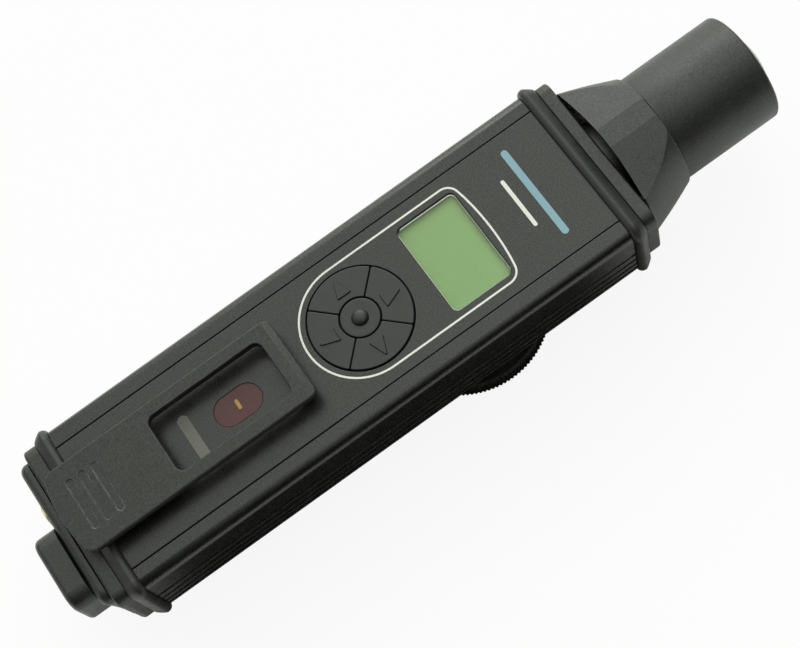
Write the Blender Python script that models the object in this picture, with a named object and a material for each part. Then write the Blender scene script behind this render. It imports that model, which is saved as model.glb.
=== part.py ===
# Handheld radiation survey meter: extruded case, front panel with display and
# four-way keypad, belt clip, detector head behind a conical collar, bumper
# rings, end caps, battery cover and a knurled screw cover on the back.
#
# Frame: +X to the user's right, +Y towards the detector head, +Z out of the
# display face. The origin is the centre of the rear cover's flat back face,
# so the meter lies on its back on the plane Z = 0. Dimensions are in mm.
import bpy
import bmesh
import math
from mathutils import Vector
from mathutils.geometry import tessellate_polygon

for old in list(bpy.data.objects):
    bpy.data.objects.remove(old, do_unlink=True)

MM = 0.001
QUARTER = math.pi / 2

# ---- driving dimensions -----------------------------------------------------
GAP = 0.3                              # clearance between neighbouring parts
AXIS_Z = 33.2                          # case axis above the back plane
AXIS = (0, AXIS_Z)                     # the same axis as an (x, z) centre
CASE_HALF_W, CASE_HALF_D = 29.1, 14.33
CASE_R = 3.4                           # case corner radius
CASE_Y0, CASE_Y1 = -124.6, 49.4        # lower and upper ends of the case
WALL = 2.0
FRONT_Z = AXIS_Z + CASE_HALF_D         # front face of the panel
BACK_Z = AXIS_Z - CASE_HALF_D          # back face of the case
# case screws and rear screws are measured from the case axis and the origin
CASE_SCREWS = [(-24.0, -9.4), (24.0, -9.4), (24.0, 8.0), (-24.0, 8.0)]   # x, z
CASE_SCREW_HOLE_R = 1.6
REAR_SCREW_PITCH_R = 24.15
REAR_SCREW_HOLE_R = 1.1
REAR_SCREWS = [(REAR_SCREW_PITCH_R * math.cos(math.radians(a)),
                REAR_SCREW_PITCH_R * math.sin(math.radians(a))) for a in (45, 135, 225, 315)]

PANEL_HALF_W, PANEL_T = 22.1, 1.6
PANEL_SEAT_Z = FRONT_Z - PANEL_T - GAP  # outside of the case wall under the panel
LCD_HALF_W = 16.0
LCD_Y0, LCD_Y1 = -5.43, 15.37
LCD_Y = (LCD_Y0 + LCD_Y1) / 2
LCD_HALF_H = (LCD_Y1 - LCD_Y0) / 2
MODULE_HALF_W, MODULE_HALF_H, MODULE_Y = 19.3, 13.1, 5.0   # display module
KEY_Y, KEY_R = -28.65, 16.05           # keypad centre and radius
IR_Y = -72.4                           # infrared window centre
IR_HALF_W, IR_HALF_H = 4.6, 7.6

RING_T = 3.7                           # bumper ring thickness along Y
RING_PROUD = 1.75                      # bumper stands proud of the case
TOP_RING_Y0 = CASE_Y1 + GAP
BOTTOM_RING_Y0 = CASE_Y0 - GAP - RING_T

CAP_HALF_W, CAP_HALF_D, CAP_R = 28.5, 14.15, 4.2   # both end caps
TOP_CAP_Y0, TOP_CAP_Y1 = TOP_RING_Y0 + RING_T + GAP, 58.05
BOTTOM_CAP_Y0, BOTTOM_CAP_Y1 = -133.45, BOTTOM_RING_Y0 - GAP
REAR_BORE_R = 22.6                     # opening behind the rear detector


# ---- materials --------------------------------------------------------------
def material(name, rgb, roughness, metallic=0.0, alpha=1.0):
    mat = bpy.data.materials.new(name)
    mat.use_nodes = True
    inputs = mat.node_tree.nodes["Principled BSDF"].inputs
    inputs["Base Color"].default_value = (*rgb, 1.0)
    inputs["Roughness"].default_value = roughness
    inputs["Metallic"].default_value = metallic
    inputs["Alpha"].default_value = alpha
    mat.diffuse_color = (*rgb, 1.0)
    return mat


CASE = material("case_black", rgb=(0.030, 0.032, 0.030), roughness=0.45, metallic=0.2)
PANEL = material("panel_black", rgb=(0.028, 0.030, 0.028), roughness=0.5)
CAP = material("cap_black", rgb=(0.026, 0.027, 0.026), roughness=0.5)
RUBBER = material("bumper_rubber", rgb=(0.022, 0.023, 0.022), roughness=0.6)
HEAD = material("head_black", rgb=(0.035, 0.037, 0.038), roughness=0.42, metallic=0.2)
DOME = material("dome_pale", rgb=(0.40, 0.45, 0.40), roughness=0.5)
KEY = material("key_rubber", rgb=(0.027, 0.029, 0.027), roughness=0.6)
LCD = material("lcd_green", rgb=(0.26, 0.43, 0.17), roughness=0.25)
CLEAR = material("clear_window", rgb=(0.8, 0.85, 0.8), roughness=0.05, alpha=0.3)
RED = material("ir_red", rgb=(0.10, 0.03, 0.035), roughness=0.2)
LABEL = material("label_grey", rgb=(0.35, 0.35, 0.31), roughness=0.5)
STEEL = material("steel", rgb=(0.55, 0.55, 0.56), roughness=0.3, metallic=1.0)
BRASS = material("brass", rgb=(0.62, 0.47, 0.20), roughness=0.3, metallic=1.0)
BOARD = material("board_green", rgb=(0.03, 0.14, 0.06), roughness=0.5)
CRYSTAL = material("crystal", rgb=(0.75, 0.78, 0.72), roughness=0.2)
BLACK_PART = material("part_black", rgb=(0.02, 0.02, 0.02), roughness=0.5)
CELL = material("cell_sleeve", rgb=(0.30, 0.28, 0.24), roughness=0.4)


# ---- flat outlines: lists of two coordinates, anticlockwise -----------------
def arc(cx, cy, radius, start, sweep, steps):
    angles = [start + sweep * i / steps for i in range(steps + 1)]
    return [(cx + radius * math.cos(a), cy + radius * math.sin(a)) for a in angles]


def circle(radius, steps, cx=0.0, cy=0.0):
    angles = [2 * math.pi * i / steps for i in range(steps)]
    return [(cx + radius * math.cos(a), cy + radius * math.sin(a)) for a in angles]


def rounded_rect(half_w, half_h, radius, steps, cx=0.0, cy=0.0):
    """Rounded rectangle from the right side, with `steps` per corner."""
    points = []
    for k, (sx, sy) in enumerate(((1, 1), (-1, 1), (-1, -1), (1, -1))):
        points += arc(cx + sx * (half_w - radius), cy + sy * (half_h - radius),
                      radius, QUARTER * k, QUARTER, steps)
    return points


def oval(half_w, half_h, cx, cy):
    """Slot shape, long in the second coordinate."""
    offset = half_h - half_w
    return (arc(cx, cy + offset, half_w, 0, math.pi, 6)
            + arc(cx, cy - offset, half_w, math.pi, math.pi, 6))


# ---- solids: each function returns a new bmesh in mm ------------------------
def place(axis, height, p, q):
    """A point at a height along the axis, with (p, q) across it."""
    if axis == "Y":
        return (p, height, q)
    if axis == "Z":
        return (p, q, height)
    return (height, p, q)


def bridge(bm, row_a, row_b):
    """Quads between two closed rows of vertices."""
    count = len(row_a)
    for i in range(count):
        j = (i + 1) % count
        bm.faces.new((row_a[i], row_a[j], row_b[j], row_b[i]))


def stack(axis, levels):
    """Closed solid through levels of (height, [outer loop, hole loops...]).

    Every level has matching loops; the first and last levels are capped.
    """
    bm = bmesh.new()
    rows = [[[bm.verts.new(place(axis, height, p, q)) for p, q in loop] for loop in loops]
            for height, loops in levels]
    for row_a, row_b in zip(rows, rows[1:]):
        for loop_a, loop_b in zip(row_a, row_b):
            bridge(bm, loop_a, loop_b)
    for row, (_, loops) in ((rows[0], levels[0]), (rows[-1], levels[-1])):
        verts = [v for loop in row for v in loop]
        if len(loops) == 1:
            bm.faces.new(verts)
        else:
            flat = [[Vector((p, q, 0)) for p, q in loop] for loop in loops]
            for triangle in tessellate_polygon(flat):
                bm.faces.new([verts[i] for i in triangle])
    return bm


def prism(axis, low, high, *loops):
    """Straight solid; the first loop is the outside and the rest are holes."""
    return stack(axis, [(low, loops), (high, loops)])


def rod(axis, low, high, radius, steps, centre=(0, 0)):
    return prism(axis, low, high, circle(radius, steps, *centre))


def rect_stack(half_w, half_d, steps, rows, cx=0.0, cz=AXIS_Z):
    """Rounded block along Y through rows of (y, inset from the half sizes, corner radius)."""
    return stack("Y", [(y, [rounded_rect(half_w - inset, half_d - inset, radius, steps, cx, cz)])
                       for y, inset, radius in rows])


def lathe(axis, centre, profile, steps):
    """Revolve a (radius, height) profile about an axis through the centre."""
    bm = bmesh.new()
    rows = []
    for radius, height in profile:
        ring = [centre] if radius < 1e-6 else circle(radius, steps, *centre)
        rows.append([bm.verts.new(place(axis, height, p, q)) for p, q in ring])
    pairs = list(zip(rows, rows[1:]))
    if profile[0][0] > 1e-6 or profile[-1][0] > 1e-6:
        pairs.append((rows[-1], rows[0]))
    for a, b in pairs:
        if len(a) == 1 and len(b) == 1:
            continue                   # a step along the axis makes no surface
        if len(a) > 1 and len(b) > 1:
            bridge(bm, a, b)
            continue
        for i in range(steps):
            j = (i + 1) % steps
            bm.faces.new((a[0], b[j], b[i]) if len(a) == 1 else (a[i], a[j], b[0]))
    return bm


def box(low, high):
    bm = bmesh.new()
    xs, ys, zs = zip(low, high)
    v = [bm.verts.new((x, y, z)) for x in xs for y in ys for z in zs]
    for face in ((0, 1, 3, 2), (4, 6, 7, 5), (0, 4, 5, 1),
                 (2, 3, 7, 6), (0, 2, 6, 4), (1, 5, 7, 3)):
        bm.faces.new([v[i] for i in face])
    return bm


def coil(path, wire_r):
    """Five-sided wire along a list of points, closed at both ends."""
    bm = bmesh.new()
    sides = 5
    rows = []
    for i, point in enumerate(path):
        before = Vector(path[max(i - 1, 0)])
        after = Vector(path[min(i + 1, len(path) - 1)])
        tangent = (after - before).normalized()
        reference = Vector((1, 0, 0)) if abs(tangent.x) < 0.9 else Vector((0, 0, 1))
        across = tangent.cross(reference).normalized()
        other = tangent.cross(across).normalized()
        rows.append([bm.verts.new(Vector(point) + across * wire_r * p + other * wire_r * q)
                     for p, q in circle(1.0, sides)])
    for row_a, row_b in zip(rows, rows[1:]):
        bridge(bm, row_a, row_b)
    bm.faces.new(rows[0])
    bm.faces.new(rows[-1])
    return bm


# ---- objects ----------------------------------------------------------------
def make_object(name, bm, origin=(0, 0, 0)):
    """Turn a bmesh in mm into an object in metres, with its origin at `origin` (mm)."""
    offset = Vector(origin)
    bmesh.ops.recalc_face_normals(bm, faces=bm.faces)
    for v in bm.verts:
        v.co = (v.co - offset) * MM
    mesh = bpy.data.meshes.new(name)
    bm.to_mesh(mesh)
    bm.free()
    ob = bpy.data.objects.new(name, mesh)
    ob.location = offset * MM
    bpy.context.scene.collection.objects.link(ob)
    return ob


def piece(name, bm, mat, origin=(0, 0, 0), sharp_angle=35):
    ob = make_object(name, bm, origin)
    ob.data.materials.append(mat)
    ob.data.shade_smooth()
    ob.data.set_sharp_from_angle(angle=math.radians(sharp_angle))
    return ob


def cut(ob, name, bm, operation="DIFFERENCE"):
    """Boolean the piece with a hidden helper made from the bmesh."""
    helper = make_object(name, bm)
    helper.hide_render = True
    helper.display_type = "WIRE"
    modifier = ob.modifiers.new("cut_" + name, "BOOLEAN")
    modifier.operation = operation
    modifier.solver = "EXACT"
    modifier.object = helper


def join(ob, name, bm):
    cut(ob, name, bm, "UNION")


# ---- case -------------------------------------------------------------------
GROOVES_Z = [-9.9, -6.9, -3.2, 1.0]    # side grooves, from the case axis
GROOVE_HALF_W, GROOVE_DEPTH = 0.75, 0.7
GROOVE_FLOOR_RATIO = 0.55              # floor width over mouth width
CAVITY_CORNER = 5.6                    # filled corner at each screw
SEAT_WALL = 1.4                        # case wall under the panel
KEY_OPENING_R = 17.4
MODULE_CLEAR = 0.5
OPENING_Z0, OPENING_Z1 = PANEL_SEAT_Z - 4, PANEL_SEAT_Z + 1   # extent of the front cutters


def case_outline():
    """Case section: corners, grooved sides, and the channel for the front panel."""
    right = []
    for groove in GROOVES_Z:
        z, floor = AXIS_Z + groove, GROOVE_HALF_W * GROOVE_FLOOR_RATIO
        right += [(CASE_HALF_W, z - GROOVE_HALF_W),
                  (CASE_HALF_W - GROOVE_DEPTH, z - floor),
                  (CASE_HALF_W - GROOVE_DEPTH, z + floor),
                  (CASE_HALF_W, z + GROOVE_HALF_W)]
    left = [(-x, z) for x, z in reversed(right)]

    def corner(side_x, side_z, start):
        return arc(side_x * (CASE_HALF_W - CASE_R), AXIS_Z + side_z * (CASE_HALF_D - CASE_R),
                   CASE_R, start, QUARTER, 4)

    channel = PANEL_HALF_W + 0.25
    return (right + corner(1, 1, 0.0)
            + [(channel, FRONT_Z), (channel, PANEL_SEAT_Z),
               (-channel, PANEL_SEAT_Z), (-channel, FRONT_Z)]
            + corner(-1, 1, QUARTER) + left
            + corner(-1, -1, math.pi) + corner(1, -1, 3 * QUARTER))


def case_cavity():
    """Inner cavity, stepped in at each corner."""
    side = CASE_HALF_W - WALL
    low = BACK_Z + WALL
    high = PANEL_SEAT_Z - SEAT_WALL
    step = CAVITY_CORNER
    return [(side, low + step), (side, high - step), (side - step, high - step),
            (side - step, high), (-side + step, high), (-side + step, high - step),
            (-side, high - step), (-side, low + step), (-side + step, low + step),
            (-side + step, low), (side - step, low), (side - step, low + step)]


screw_holes = [circle(CASE_SCREW_HOLE_R, 10, x, AXIS_Z + z) for x, z in CASE_SCREWS]
case = piece("body_shell",
             prism("Y", CASE_Y0, CASE_Y1, case_outline(), case_cavity(), *screw_holes), CASE)
cut(case, "cut_lcd", box(
    (-MODULE_HALF_W - MODULE_CLEAR, MODULE_Y - MODULE_HALF_H - MODULE_CLEAR, OPENING_Z0),
    (MODULE_HALF_W + MODULE_CLEAR, MODULE_Y + MODULE_HALF_H + MODULE_CLEAR, OPENING_Z1)))
cut(case, "cut_keys", rod("Z", OPENING_Z0, OPENING_Z1, KEY_OPENING_R, 32, (0, KEY_Y)))
cut(case, "cut_ir", box((-6.5, IR_Y - 9.5, OPENING_Z0), (6.5, IR_Y + 9.5, OPENING_Z1)))
cut(case, "cut_rear", rod("Z", BACK_Z - 2, BACK_Z + 4, REAR_BORE_R, 40))
for k, centre in enumerate(REAR_SCREWS, 1):
    cut(case, f"cut_rear_hole_{k}",
        rod("Z", BACK_Z - 2, BACK_Z + 3.2, REAR_SCREW_HOLE_R, 10, centre))

# ---- front panel ------------------------------------------------------------
PANEL_BEVEL = 0.25
panel_y = (CASE_Y0 + CASE_Y1) / 2
panel_half_h = (CASE_Y1 - CASE_Y0) / 2 - 0.1
panel_holes = [rounded_rect(LCD_HALF_W, LCD_HALF_H, 2.0, 4, 0, LCD_Y),
               circle(KEY_R + 0.35, 48, 0, KEY_Y),
               oval(IR_HALF_W + GAP, IR_HALF_H + GAP, 0, IR_Y)]
panel_edge = rounded_rect(PANEL_HALF_W, panel_half_h, 0.3, 1, 0, panel_y)
panel_top = rounded_rect(PANEL_HALF_W - PANEL_BEVEL, panel_half_h - 0.05, 0.3, 1, 0, panel_y)
piece("front_panel", stack("Z", [(FRONT_Z - PANEL_T, [panel_edge] + panel_holes),
                                 (FRONT_Z - PANEL_BEVEL, [panel_edge] + panel_holes),
                                 (FRONT_Z, [panel_top] + panel_holes)]), PANEL)

# ---- display ----------------------------------------------------------------
FRONT_PART_Z0 = FRONT_Z - 5.2          # back of the parts under the panel
piece("lcd_window", prism("Z", FRONT_Z - 1.5, FRONT_Z - 0.6, rounded_rect(
    LCD_HALF_W - GAP, LCD_HALF_H - GAP, 1.7, 4, 0, LCD_Y)), CLEAR)
module_base = rounded_rect(MODULE_HALF_W, MODULE_HALF_H, 1.0, 2, 0, MODULE_Y)
module_top = rounded_rect(17.6, 11.6, 0.6, 2, 0, MODULE_Y)
piece("lcd_module", stack("Z", [(FRONT_PART_Z0, [module_base]),
                                (FRONT_Z - 2.6, [module_base]),
                                (FRONT_Z - 1.9, [module_top])]), LCD)

# ---- keypad -----------------------------------------------------------------
KEY_Z0, KEY_Z1 = FRONT_Z - 2.3, FRONT_Z + 0.35
KEY_INNER_R = 6.45
KEY_BEVEL = 0.3
KEY_ORIGIN_R = 11.2                    # key origins, from the keypad centre
MARK = [(14.6, 0.0), (8.2, 2.35), (8.2, -2.35)]   # raised triangle: outwards, across


def key_outline(inner_r, outer_r, middle, gap):
    """Quarter ring sector about `middle`, with a straight gap along its two sides."""
    steps = 12
    start, end = middle - math.pi / 4, middle + math.pi / 4
    points = []
    for radius, a0, a1, side in ((outer_r, start, end, 1), (inner_r, end, start, -1)):
        for i in range(steps + 1):
            shift = side * math.asin(gap / radius) * (1 - 2 * i / steps)
            a = a0 + (a1 - a0) * i / steps + shift
            points.append((radius * math.cos(a), KEY_Y + radius * math.sin(a)))
    return points


def arrow_key(name, a):
    """Key at angle `a` with a raised triangle pointing outwards."""
    cos_a, sin_a = math.cos(a), math.sin(a)
    side = key_outline(KEY_INNER_R, KEY_R, a, gap=0.22)
    top = key_outline(KEY_INNER_R + KEY_BEVEL, KEY_R - KEY_BEVEL, a, gap=0.45)
    key = piece(name, stack("Z", [(KEY_Z0, [side]), (KEY_Z1 - KEY_BEVEL, [side]),
                                  (KEY_Z1, [top])]),
                KEY, (KEY_ORIGIN_R * cos_a, KEY_Y + KEY_ORIGIN_R * sin_a, FRONT_Z))
    mark = [(cos_a * u - sin_a * w, KEY_Y + sin_a * u + cos_a * w) for u, w in MARK]
    join(key, "mark_" + name, prism("Z", KEY_Z1 - 0.8, KEY_Z1 + 0.25, mark))


for name, degrees in (("button_right", 0), ("button_up", 90),
                      ("button_left", 180), ("button_down", 270)):
    arrow_key(name, math.radians(degrees))

# round centre key with a low peak
piece("button_centre", lathe("Z", (0, KEY_Y), [
    (0, KEY_Z0), (6.1, KEY_Z0), (6.1, KEY_Z1 - 0.25), (5.8, KEY_Z1),
    (2.6, KEY_Z1 + 0.05), (2.1, KEY_Z1 + 0.8), (0, KEY_Z1 + 1.3)], 28), KEY, (0, KEY_Y, FRONT_Z))
piece("keypad_mat", rod("Z", FRONT_PART_Z0, FRONT_Z - 3.0, KEY_OPENING_R - 0.4, 28, (0, KEY_Y)),
      RUBBER)

# ---- infrared port and label ------------------------------------------------
piece("ir_window", prism("Z", FRONT_Z - PANEL_T, FRONT_Z - 0.15,
                         oval(IR_HALF_W, IR_HALF_H, 0, IR_Y)), RED)
piece("ir_module", box((-4.5, IR_Y - 5.5, FRONT_PART_Z0), (4.5, IR_Y + 5.5, FRONT_Z - 2.3)),
      BLACK_PART)
piece("rating_label", prism("Z", FRONT_Z + 0.05, FRONT_Z + 0.2,
                            rounded_rect(7.5, 1.75, 1.2, 4, 0, -88.4)), LABEL)

# ---- belt clip --------------------------------------------------------------
CLIP_HALF_W, CLIP_T = 14.05, 3.0
CLIP_Z1 = AXIS_Z + 22.2
CLIP_Z0 = CLIP_Z1 - CLIP_T
CLIP_Y0, CLIP_Y1 = -132.3, -51.0
CLIP_TOP_R, CLIP_BOTTOM_R = 2.6, 4.0   # corner radii at the upper and lower ends
CLIP_BOW = 1.6                         # bulge of the lower end
CLIP_SWEEP = 0.86                      # part of a quarter turn in each lower corner
CLIP_WINDOW_HALF_W = 9.85
CLIP_WINDOW_Y0, CLIP_WINDOW_Y1 = -96.6, -56.8
GRIPS_Y = (-115.9, -120.3, -124.6)     # grip grooves across the lower end
PIN_Y, PIN_Z = -53.9, AXIS_Z + 17.1
PIN = (PIN_Y, PIN_Z)
PIN_R, PIN_BORE_R = 1.05, 1.35
PIN_HALF_L = 11.4
LUG_X, LUG_HALF_T, LUG_R = 6.6, 1.2, 2.0
EAR_X, EAR_HALF_T = 9.8, 1.3


def clip_outline(inset):
    """Clip plate from the front; its lower end bulges slightly."""
    half_w, low_r = CLIP_HALF_W - inset, CLIP_BOTTOM_R - inset * 0.5
    y0, y1 = CLIP_Y0 + inset, CLIP_Y1 - inset
    top_x, top_y = half_w - CLIP_TOP_R, y1 - CLIP_TOP_R
    low_x, low_y = half_w - low_r, y0 + CLIP_BOW + low_r
    sweep = QUARTER * CLIP_SWEEP
    bulge = [(t * (half_w - low_r * 0.8), y0 + CLIP_BOW * t * t)
             for t in (-1 + 2 * k / 8 for k in range(1, 8))]
    return (arc(top_x, top_y, CLIP_TOP_R, 0, QUARTER, 5)
            + arc(-top_x, top_y, CLIP_TOP_R, QUARTER, QUARTER, 5)
            + arc(-low_x, low_y, low_r, math.pi, sweep, 5)
            + bulge
            + arc(low_x, low_y, low_r, 2 * math.pi - sweep, sweep, 5))


clip_window = rounded_rect(CLIP_WINDOW_HALF_W, (CLIP_WINDOW_Y1 - CLIP_WINDOW_Y0) / 2, 2.4, 4,
                           0, (CLIP_WINDOW_Y0 + CLIP_WINDOW_Y1) / 2)
CLIP_LEVELS = [                        # z, inset of the outline
    (CLIP_Z0, 0.5), (CLIP_Z0 + 0.5, 0.0), (CLIP_Z1 - 0.9, 0.0), (CLIP_Z1 - 0.25, 0.28),
    (CLIP_Z1, 0.9)]
clip = piece("belt_clip",
             stack("Z", [(z, [clip_outline(inset), clip_window]) for z, inset in CLIP_LEVELS]),
             CAP, (0, PIN_Y, PIN_Z))
for k, y in enumerate(GRIPS_Y, 1):
    cut(clip, f"cut_grip_{k}", stack("Z", [
        (CLIP_Z1 - 0.7, [rounded_rect(8.6, 1.1, 1.05, 3, 0, y)]),
        (CLIP_Z1 + 1, [rounded_rect(8.8, 1.3, 1.2, 3, 0, y)])]))
# two lugs under the plate, rounded about the pin; points are (y, z)
lug = [(PIN_Y + LUG_R, CLIP_Z1 - 1.5), (PIN_Y - LUG_R, CLIP_Z1 - 1.5), (PIN_Y - LUG_R, PIN_Z)]
lug += [(PIN_Y - LUG_R * math.cos(a), PIN_Z - LUG_R * math.sin(a))
        for a in (0.52, 1.05, 1.57, 2.09, 2.62)]
lug.append((PIN_Y + LUG_R, PIN_Z))
for side in (-1, 1):
    join(clip, f"clip_lug_{2 + side}",
         prism("X", side * LUG_X - LUG_HALF_T, side * LUG_X + LUG_HALF_T, lug))
cut(clip, "clip_bore", rod("X", -12, 12, PIN_BORE_R, 12, PIN))

# bracket: a foot on the panel with two ears that carry the pin
bracket = piece("clip_bracket", box((-11.2, PIN_Y - 2.4, FRONT_Z + 0.05),
                                    (11.2, PIN_Y + 2.4, FRONT_Z + 0.55)), STEEL)
for side in (-1, 1):
    join(bracket, f"ear_{2 + side}",
         box((side * EAR_X - EAR_HALF_T, PIN_Y - 2.2, FRONT_Z + 0.3),
             (side * EAR_X + EAR_HALF_T, PIN_Y + 1.8, PIN_Z + 1.65)))
cut(bracket, "ear_bore", rod("X", -13, 13, PIN_BORE_R, 12, PIN))

pin_end, pin_side = [circle(PIN_R - 0.25, 12, *PIN)], [circle(PIN_R, 12, *PIN)]
piece("clip_pin", stack("X", [(-PIN_HALF_L, pin_end), (-PIN_HALF_L + 0.2, pin_side),
                              (PIN_HALF_L - 0.2, pin_side), (PIN_HALF_L, pin_end)]), STEEL)


def clip_spring_path():
    """Four turns around the pin, between the lugs."""
    turns, steps, half_l, radius = 4, 9, 3.0, 1.75
    path = []
    for i in range(turns * steps + 1):
        a = 2 * math.pi * i / steps
        path.append((-half_l + 2 * half_l * i / (turns * steps),
                     PIN_Y + radius * math.cos(a), PIN_Z + radius * math.sin(a)))
    return path


piece("clip_spring", coil(clip_spring_path(), wire_r=0.33), STEEL)


# ---- bumper rings -----------------------------------------------------------
def bumper(name, y0):
    """A rubber frame clamped between case and cap, with a round outer bead."""
    y1, bead_r = y0 + RING_T, RING_T / 2
    # section: offset from the case outline, y
    section = [(-0.6, y0)]
    section += [(RING_PROUD - bead_r + bead_r * math.cos(a), y0 + bead_r + bead_r * math.sin(a))
                for a in (-1.4, -0.9, -0.45, 0.0, 0.45, 0.9, 1.4)]
    section.append((-0.6, y1))
    inner = rounded_rect(21.0, 10.3, 1.0, 4, *AXIS)
    loops = [(y0, inner)]
    loops += [(y, rounded_rect(CASE_HALF_W + offset, CASE_HALF_D + offset, CASE_R + offset,
                               4, *AXIS)) for offset, y in section]
    loops.append((y1, inner))
    bm = bmesh.new()
    rows = [[bm.verts.new((x, y, z)) for x, z in loop] for y, loop in loops]
    for row_a, row_b in zip(rows, rows[1:] + rows[:1]):
        bridge(bm, row_a, row_b)
    ring = piece(name, bm, RUBBER)
    for k, (x, z) in enumerate(CASE_SCREWS, 1):
        cut(ring, f"cut_{name}_{k}",
            rod("Y", y0 - 1, y1 + 1, CASE_SCREW_HOLE_R, 10, (x, AXIS_Z + z)))


bumper("top_bumper", TOP_RING_Y0)
bumper("bottom_bumper", BOTTOM_RING_Y0)

# ---- end caps ---------------------------------------------------------------
SPIGOT = rounded_rect(20.6, 9.8, 1.5, 2, *AXIS)   # plug on each cap, into the case
SPIGOT_L = 4.0
HEAD_HOLE_R = 2.9                      # recess for a screw head
SCREW_HEAD_R, SCREW_HEAD_T = 2.5, 1.6
SCREW_SHANK_R, SCREW_L = 1.3, 13.5


def end_cap(name, inner_y, outer_y, side):
    """Rounded block; `side` is +1 or -1, the way its outer face looks along Y."""
    rows = [(inner_y, 0.4), (inner_y + side * 0.4, 0.0), (outer_y - side * 1.0, 0.0),
            (outer_y - side * 0.3, 0.3), (outer_y, 1.0)]
    return piece(name, rect_stack(CAP_HALF_W, CAP_HALF_D, 4, [
        (y, inset, CAP_R - inset) for y, inset in sorted(rows)]), CAP)


def fit_cap_screws(cap, prefix, inner_y, outer_y, side):
    """Counterbored holes through the cap, each with a screw."""
    for k, (x, z) in enumerate(CASE_SCREWS, 1):
        centre = (x, AXIS_Z + z)
        seat_y = outer_y - side * 2.2
        cut(cap, f"cut_{prefix}_screw_{k}", lathe("Y", centre, [
            (0, inner_y - side), (CASE_SCREW_HOLE_R, inner_y - side),
            (CASE_SCREW_HOLE_R, seat_y), (HEAD_HOLE_R, seat_y),
            (HEAD_HOLE_R, outer_y + side), (0, outer_y + side)], 12))
        head_y = outer_y - side * 0.25
        under_y, tip_y = head_y - side * SCREW_HEAD_T, head_y - side * SCREW_L
        piece(f"{prefix}_screw_{k}", lathe("Y", centre, [
            (0, head_y), (SCREW_HEAD_R, head_y), (SCREW_HEAD_R, under_y),
            (SCREW_SHANK_R, under_y), (SCREW_SHANK_R, tip_y), (0, tip_y)], 10), STEEL)


# ---- top end cap and collar -------------------------------------------------
COLLAR_Y0, COLLAR_Y1 = 58.45, 76.2
COLLAR_FLOOR_Y = COLLAR_Y0 + 7.25
FLAT_HALF_W, FLAT_Z = 3.45, 18.0       # middle flat of the collar, from the case axis
FLAT_SLOPE = math.radians(12)          # fall of the outer flats
FLAT_REACH = 40.0                      # beyond the collar's side

top_cap = end_cap("top_end_cap", TOP_CAP_Y0, TOP_CAP_Y1, side=1)
join(top_cap, "cap_spigot", prism("Y", CASE_Y1 - SPIGOT_L, TOP_CAP_Y0 + 1.0, SPIGOT))
# the round neck goes up into the collar
join(top_cap, "cap_neck", rod("Y", TOP_CAP_Y1 - 1.0, COLLAR_Y0 + 4.25, 13.6, 32, AXIS))
cut(top_cap, "cap_bore", rod("Y", CASE_Y1 - 6, COLLAR_Y0 + 6.3, 7.0, 20, AXIS))
fit_cap_screws(top_cap, "top", TOP_CAP_Y0, TOP_CAP_Y1, side=1)

# collar: a cone, cut by three flats on the front and three on the back
collar = piece("detector_collar", lathe("Y", AXIS, [
    (14.0, COLLAR_Y0 + 1.9), (18.0, COLLAR_Y0 + 1.3), (25.3, COLLAR_Y0), (25.7, COLLAR_Y0 + 0.3),
    (19.25, COLLAR_Y1 - 0.55), (18.95, COLLAR_Y1), (16.9, COLLAR_Y1), (16.9, COLLAR_FLOOR_Y),
    (14.0, COLLAR_FLOOR_Y)], 56), HEAD, sharp_angle=20)
reach_z = FLAT_Z - (FLAT_REACH - FLAT_HALF_W) * math.tan(FLAT_SLOPE)
kept_section = [(x, AXIS_Z + z) for x, z in (
    (FLAT_HALF_W, FLAT_Z), (-FLAT_HALF_W, FLAT_Z), (-FLAT_REACH, reach_z),
    (-FLAT_REACH, -reach_z), (-FLAT_HALF_W, -FLAT_Z), (FLAT_HALF_W, -FLAT_Z),
    (FLAT_REACH, -reach_z), (FLAT_REACH, reach_z))]
cut(collar, "collar_flats", prism("Y", COLLAR_Y0 - 1, COLLAR_Y1 + 1, kept_section), "INTERSECT")

# ---- detector head ----------------------------------------------------------
TUBE_R, TUBE_BORE_R = 18.0, 14.8
TUBE_Y0, TUBE_Y1 = COLLAR_Y0 + 7.65, 110.2
DOME_EDGE_R = 14.4
DOME_SPHERE_R = 23.5
DOME_EDGE_Y = TUBE_Y1 - 0.6

# stepped tube, its narrower lower part inside the collar
piece("detector_tube", lathe("Y", AXIS, [
    (TUBE_BORE_R, TUBE_Y0), (16.5, TUBE_Y0), (16.5, COLLAR_Y1 + 0.3),
    (TUBE_R - 0.5, COLLAR_Y1 + 0.3), (TUBE_R, COLLAR_Y1 + 0.6), (TUBE_R, TUBE_Y1 - 1.0),
    (TUBE_R - 0.3, TUBE_Y1 - 0.3), (TUBE_R - 1.0, TUBE_Y1), (TUBE_BORE_R, TUBE_Y1)], 56), HEAD)


def dome_profile():
    """Spherical end with a spigot inside the tube."""
    profile = [(0, TUBE_Y1 - 5.0), (DOME_EDGE_R, TUBE_Y1 - 5.0), (DOME_EDGE_R, DOME_EDGE_Y)]
    centre_y = DOME_EDGE_Y - math.sqrt(DOME_SPHERE_R ** 2 - DOME_EDGE_R ** 2)
    for k in range(1, 6):
        radius = DOME_EDGE_R * (1 - k / 5)
        profile.append((radius, centre_y + math.sqrt(DOME_SPHERE_R ** 2 - radius ** 2)))
    return profile


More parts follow.
